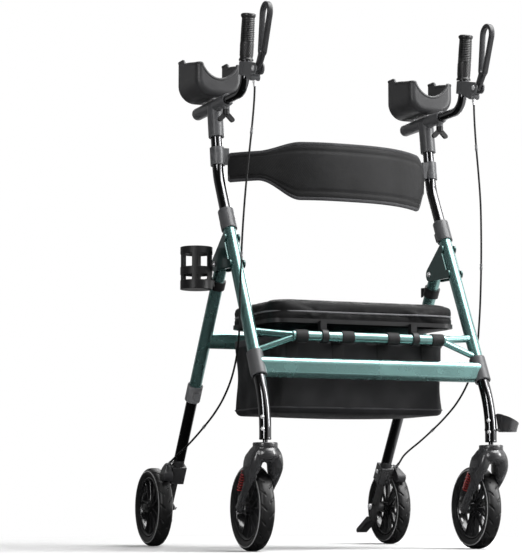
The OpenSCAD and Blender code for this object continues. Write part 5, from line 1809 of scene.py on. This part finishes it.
@dataclass
class CupHolder:
    """Drink holder on the left rear leg: banded cup with two rows of windows, arm and clamp."""

    x: float = -367.9
    y: float = 198.1
    z0: float = 638.0
    radius: float = 38.5
    wall: float = 3.0
    bands: tuple = (0.0, 21.0, 35.0, 54.0, 86.0, 104.0)
    bars: int = 6
    bar_half: float = 0.16
    around: int = 96
    clamp_z: float = 656.0

    def cup(self) -> Surface:
        """Grid round the cup with the quads of both window rows left out between the bars, and a floor.

        Returns:
            The cup, one sheet thick.
        """
        levels = np.unique([np.linspace(a, b, 5) for a, b in zip(self.bands, self.bands[1:])])
        turn = np.linspace(0, 2 * np.pi, self.around, endpoint=False)
        inner = np.r_[0.03, 0.5, 0.93]
        radius = self.radius * np.r_[inner, np.ones(len(levels))][:, None]
        high = np.r_[np.zeros(len(inner)), levels]
        z = high[:, None] + 0 * turn[None, :]
        points = [self.x + radius * np.cos(turn), self.y + radius * np.sin(turn), self.z0 + z]
        full = patch(np.stack(points, -1), False, True, False)
        mid = 0.5 * (high[:-1] + high[1:])
        _, a, b, c, d, _ = self.bands
        open_row = ((mid > a) & (mid < b)) | ((mid > c) & (mid < d))
        away = np.abs((np.arange(self.around) * self.bars / self.around + 0.5) % 1 - 0.5)
        keep = ~(open_row[:, None] & (away > self.bar_half)[None, :])
        return Surface(full.points, [full.faces[k] for k in np.flatnonzero(keep.ravel())])

    def build(self) -> None:
        """Cup with its wall, the arm to the leg, and the clamp round the leg."""
        body, slot = "rear_frame", "black_plastic"
        work = Work(50, self.wall, 0.9)
        piece("drink_cup", [self.cup()], [BLACK_PLASTIC], body, ("cup_holder",), work)
        at = np.array([-LEG_X, WHEELBASE, WHEEL_R]) + (self.clamp_z - WHEEL_R) / REAR_DIR[2] * REAR_DIR
        ring = [(16.2, -12), (19.6, -11.4), (20.2, -9.5), (20.2, 9.5), (19.6, 11.4), (16.2, 12)]
        reach = np.linspace(0.28, 1, 12)[:, None]
        heart = np.array([self.x, self.y, self.clamp_z])
        end = heart + unit(at - heart) * (self.radius - 1)
        arm = sweep(at + (end - at) * reach, oval(9, 11, 5, 24), (0, 0, 1))
        piece("drink_cup_clamp", [turned(ring, at, REAR_DIR, 48, True), arm], [BLACK_PLASTIC], body)


@dataclass
class RearBolts:
    """Bright bolt heads of a rear foot: on the axle's inner and outer ends and on the brake bracket."""

    side: Side
    axle: tuple = (WHEELBASE, WHEEL_R)
    inner_x: float = 283.5
    outer_x: float = 366.2
    bracket_t: float = 112.0
    bracket_x: float = 278.0

    def build(self) -> None:
        """Low domes turned round X."""
        dome = np.array([(0.02, 4.0), (3.6, 3.7), (6.2, 2.6), (7.4, 0.8), (7.5, -3.0)])
        at = np.array([LEG_X, *self.axle]) + self.bracket_t * REAR_DIR
        heads = [
            turned(dome, (self.inner_x, *self.axle), (-1, 0, 0), 32),
            turned(dome, (self.outer_x, *self.axle), (1, 0, 0), 32),
            turned(dome * 0.7, (self.bracket_x, *at[1:]), (-1, 0, 0), 32),
        ]
        word = self.side.word
        piece(f"rear_bolts_{word}", heads, [STEEL], f"rear_foot_{word}", side=self.side)


@dataclass
class Wheel:
    """Solid tyre with shoulder cuts and a pale bead round each shoulder, a painted highlight, on a deep gloss
    rim with paired spokes.
    """

    name: str
    side: Side
    centre: tuple
    spokes: int = 10
    cuts: int = 18
    # Radius and offset of the pale shoulder beads, a painted highlight.
    ring: tuple = (92.4, 18.3)
    spread: tuple = (0.34, 0.78)
    spoke_r: tuple = (17.5, 73.5)

    def tyre(self) -> Surface:
        """Section of radius and width turned round the axle, with slanted cuts in both shoulders.

        Returns:
            The tyre.
        """
        section = np.array([
            (78.5, -14.9), (82.0, -17.4), (86.0, -18.6), (88.2, -18.8), (89.0, -19.7), (90.4, -19.7),
            (91.2, -18.9), (95.0, -17.9), (98.6, -15.2), (100.7, -11.0), (101.4, -6.0), (WHEEL_R, 0.0),
        ])
        turn = np.linspace(0, 2 * np.pi, 420, endpoint=False)[:, None]
        fine = evenly(through(doubled(section), 6), 90)
        r, x = fine[None, :, 0], fine[None, :, 1]
        slant = np.sin(turn * self.cuts + np.abs(x) * 0.17 + (x > 0) * np.pi)
        shoulder = ease(np.abs(x), 2.5, 6.0) * (1 - ease(np.abs(x), 15.5, 17.5)) * ease(r, 93, 97)
        rr = r - 2.6 * ease(slant, 0.82, 0.93) * shoulder
        cx, cy, cz = self.centre
        points = [np.broadcast_to(cx + x, rr.shape), cy + rr * np.cos(turn), cz + rr * np.sin(turn)]
        return patch(np.stack(points, -1), True, True)

    def rim(self) -> list:
        """Turned barrel with rolled edges, turned hub with bearing faces, and leaning spokes in pairs.

        Returns:
            Barrel, hub and spokes.
        """
        barrel = np.array([
            (78.2, -14.2), (75.5, -15.0), (72.8, -14.2), (70.2, -11.0), (72.0, -8.5), (73.0, 0.0),
        ])
        barrel = np.vstack([through(doubled(barrel), 4), [(78.2, 0.0)]])
        hub = np.array([
            (5.4, -19.0), (10.2, -19.0), (10.4, -18.2), (12.8, -18.2), (13.0, -19.0), (14.2, -19.0),
            (16.4, -14.0), (18.6, -8.0), (19.4, 0.0),
        ])
        parts = [
            turned(barrel, self.centre, (1, 0, 0), 96, True), turned(doubled(hub), self.centre, (1, 0, 0), 64),
        ]
        for k in range(self.spokes):
            pair, way = divmod(k, 2)
            heart = 2 * np.pi * (pair + 0.5) / (self.spokes / 2)
            a, b = (
                np.array([0, np.cos(turn), np.sin(turn)]) * far
                for turn, far in zip(heart + (way - 0.5) * np.array(self.spread), self.spoke_r)
            )
            share = np.linspace(0, 1, 9)[:, None]
            path = np.asarray(self.centre) + a + (b - a) * share
            size = (1 + 0.3 * (2 * share - 1) ** 4)[:, :, None] * oval(2.3, 9.6, 3, 20)
            parts.append(sweep(path, size))
        return parts

    def build(self) -> None:
        """Tyre with its pale shoulder beads, which are painted highlights, and rim on the wheel's body."""
        word = self.side.word
        body = f"{self.name}_wheel_{word}"
        highlight_bead, ways = oval(1.6, 1.2, 2, 12), ((1, -1), (1, 1))
        # Pale beads round both shoulders: their colour is a painted highlight.
        rings = [
            turned(highlight_bead + np.array(self.ring) * way, self.centre, (1, 0, 0), 160, True, 1) for way in ways
        ]
        piece(f"{self.name}_tread_{word}", [self.tyre(), *rings], [TYRE_RUBBER, TYRE_HIGHLIGHT], body,
              (f"{self.name}_tyre_{word}",), Work(50))
        piece(f"{self.name}_spoked_rim_{word}", self.rim(), [RIM_PLASTIC], body,
              (f"{self.name}_rim_{word}",))


# CAD nodes that stay.

NODE_FINISH = {
    "front_leg": TEAL, "rear_leg": TEAL, "front_crossbar": TEAL, "rear_crossbar": TEAL, "seat_tube": TEAL,
    "fold_brackets": DARK_TEAL, "frame_bolts": STEEL, "arm_bolts": STEEL, "rear_lower_leg": FOOT_BLACK,
    "belt_clamp": COLLAR_PLASTIC,
}


def finish_of(node: str) -> Finish:
    """The finish of a CAD node, by the longest key that its name starts with."""
    keys = [k for k in NODE_FINISH if node.startswith(k)]
    return NODE_FINISH[max(keys, key=len)] if keys else BLACK_PLASTIC


def dress_nodes() -> None:
    """Gives every CAD node its finish."""
    for name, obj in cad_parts.items():
        made = finish_of(name).material()
        if not obj.material_slots:
            obj.data.materials.append(made)
        for place in obj.material_slots:
            place.material = made
        log.info("%s is finished in %s", name, made.name)


def mould_parts() -> None:
    """Rounds the edges of the moulded CAD nodes."""
    for side in Side:
        word = side.word
        soften(f"tee_bracket_{word}", f"upper_{word}", COLLAR_PLASTIC, 1.3, 4)
        soften(f"brake_housing_{word}", f"handle_{word}", COLLAR_PLASTIC, 1.1, 4)
        soften(f"brake_bracket_{word}", f"rear_foot_{word}", FORK_PLASTIC, 1.2, 3)
        soften(f"brake_shoe_{word}", f"shoe_{word}", DARK_PLASTIC, 1.2, 4)
    soften("leg_collars", "front_frame", COLLAR_PLASTIC, 1.4, 4)
    soften("rear_collars", "rear_frame", GREY_PLASTIC, 1.4, 4)


def main() -> None:
    """Builds the scene piece by piece."""
    logging.basicConfig(level=logging.INFO, format="%(message)s")
    Studio().build()
    for side in Side:
        BrakeCable(side).build()
    dress_nodes()
    SeatPad().build()
    CarryBag().build()
    BackBelt().build()
    for side in Side:
        ArmRest(side).build()
        HandleSet(side).build()
        Post(side).build()
        FrontFoot(side).build()
        Fork(side).build()
        ForkSprings(side).build()
        RearBolts(side).build()
        Wheel("front", side, (side.value * LEG_X, 0.0, WHEEL_R)).build()
        Wheel("rear", side, (side.value * REAR_WHEEL_X, WHEELBASE, WHEEL_R)).build()
    CaneCup().build()
    CupHolder().build()
    mould_parts()
    bpy.context.view_layer.update()


if __name__ == "__main__":
    main()
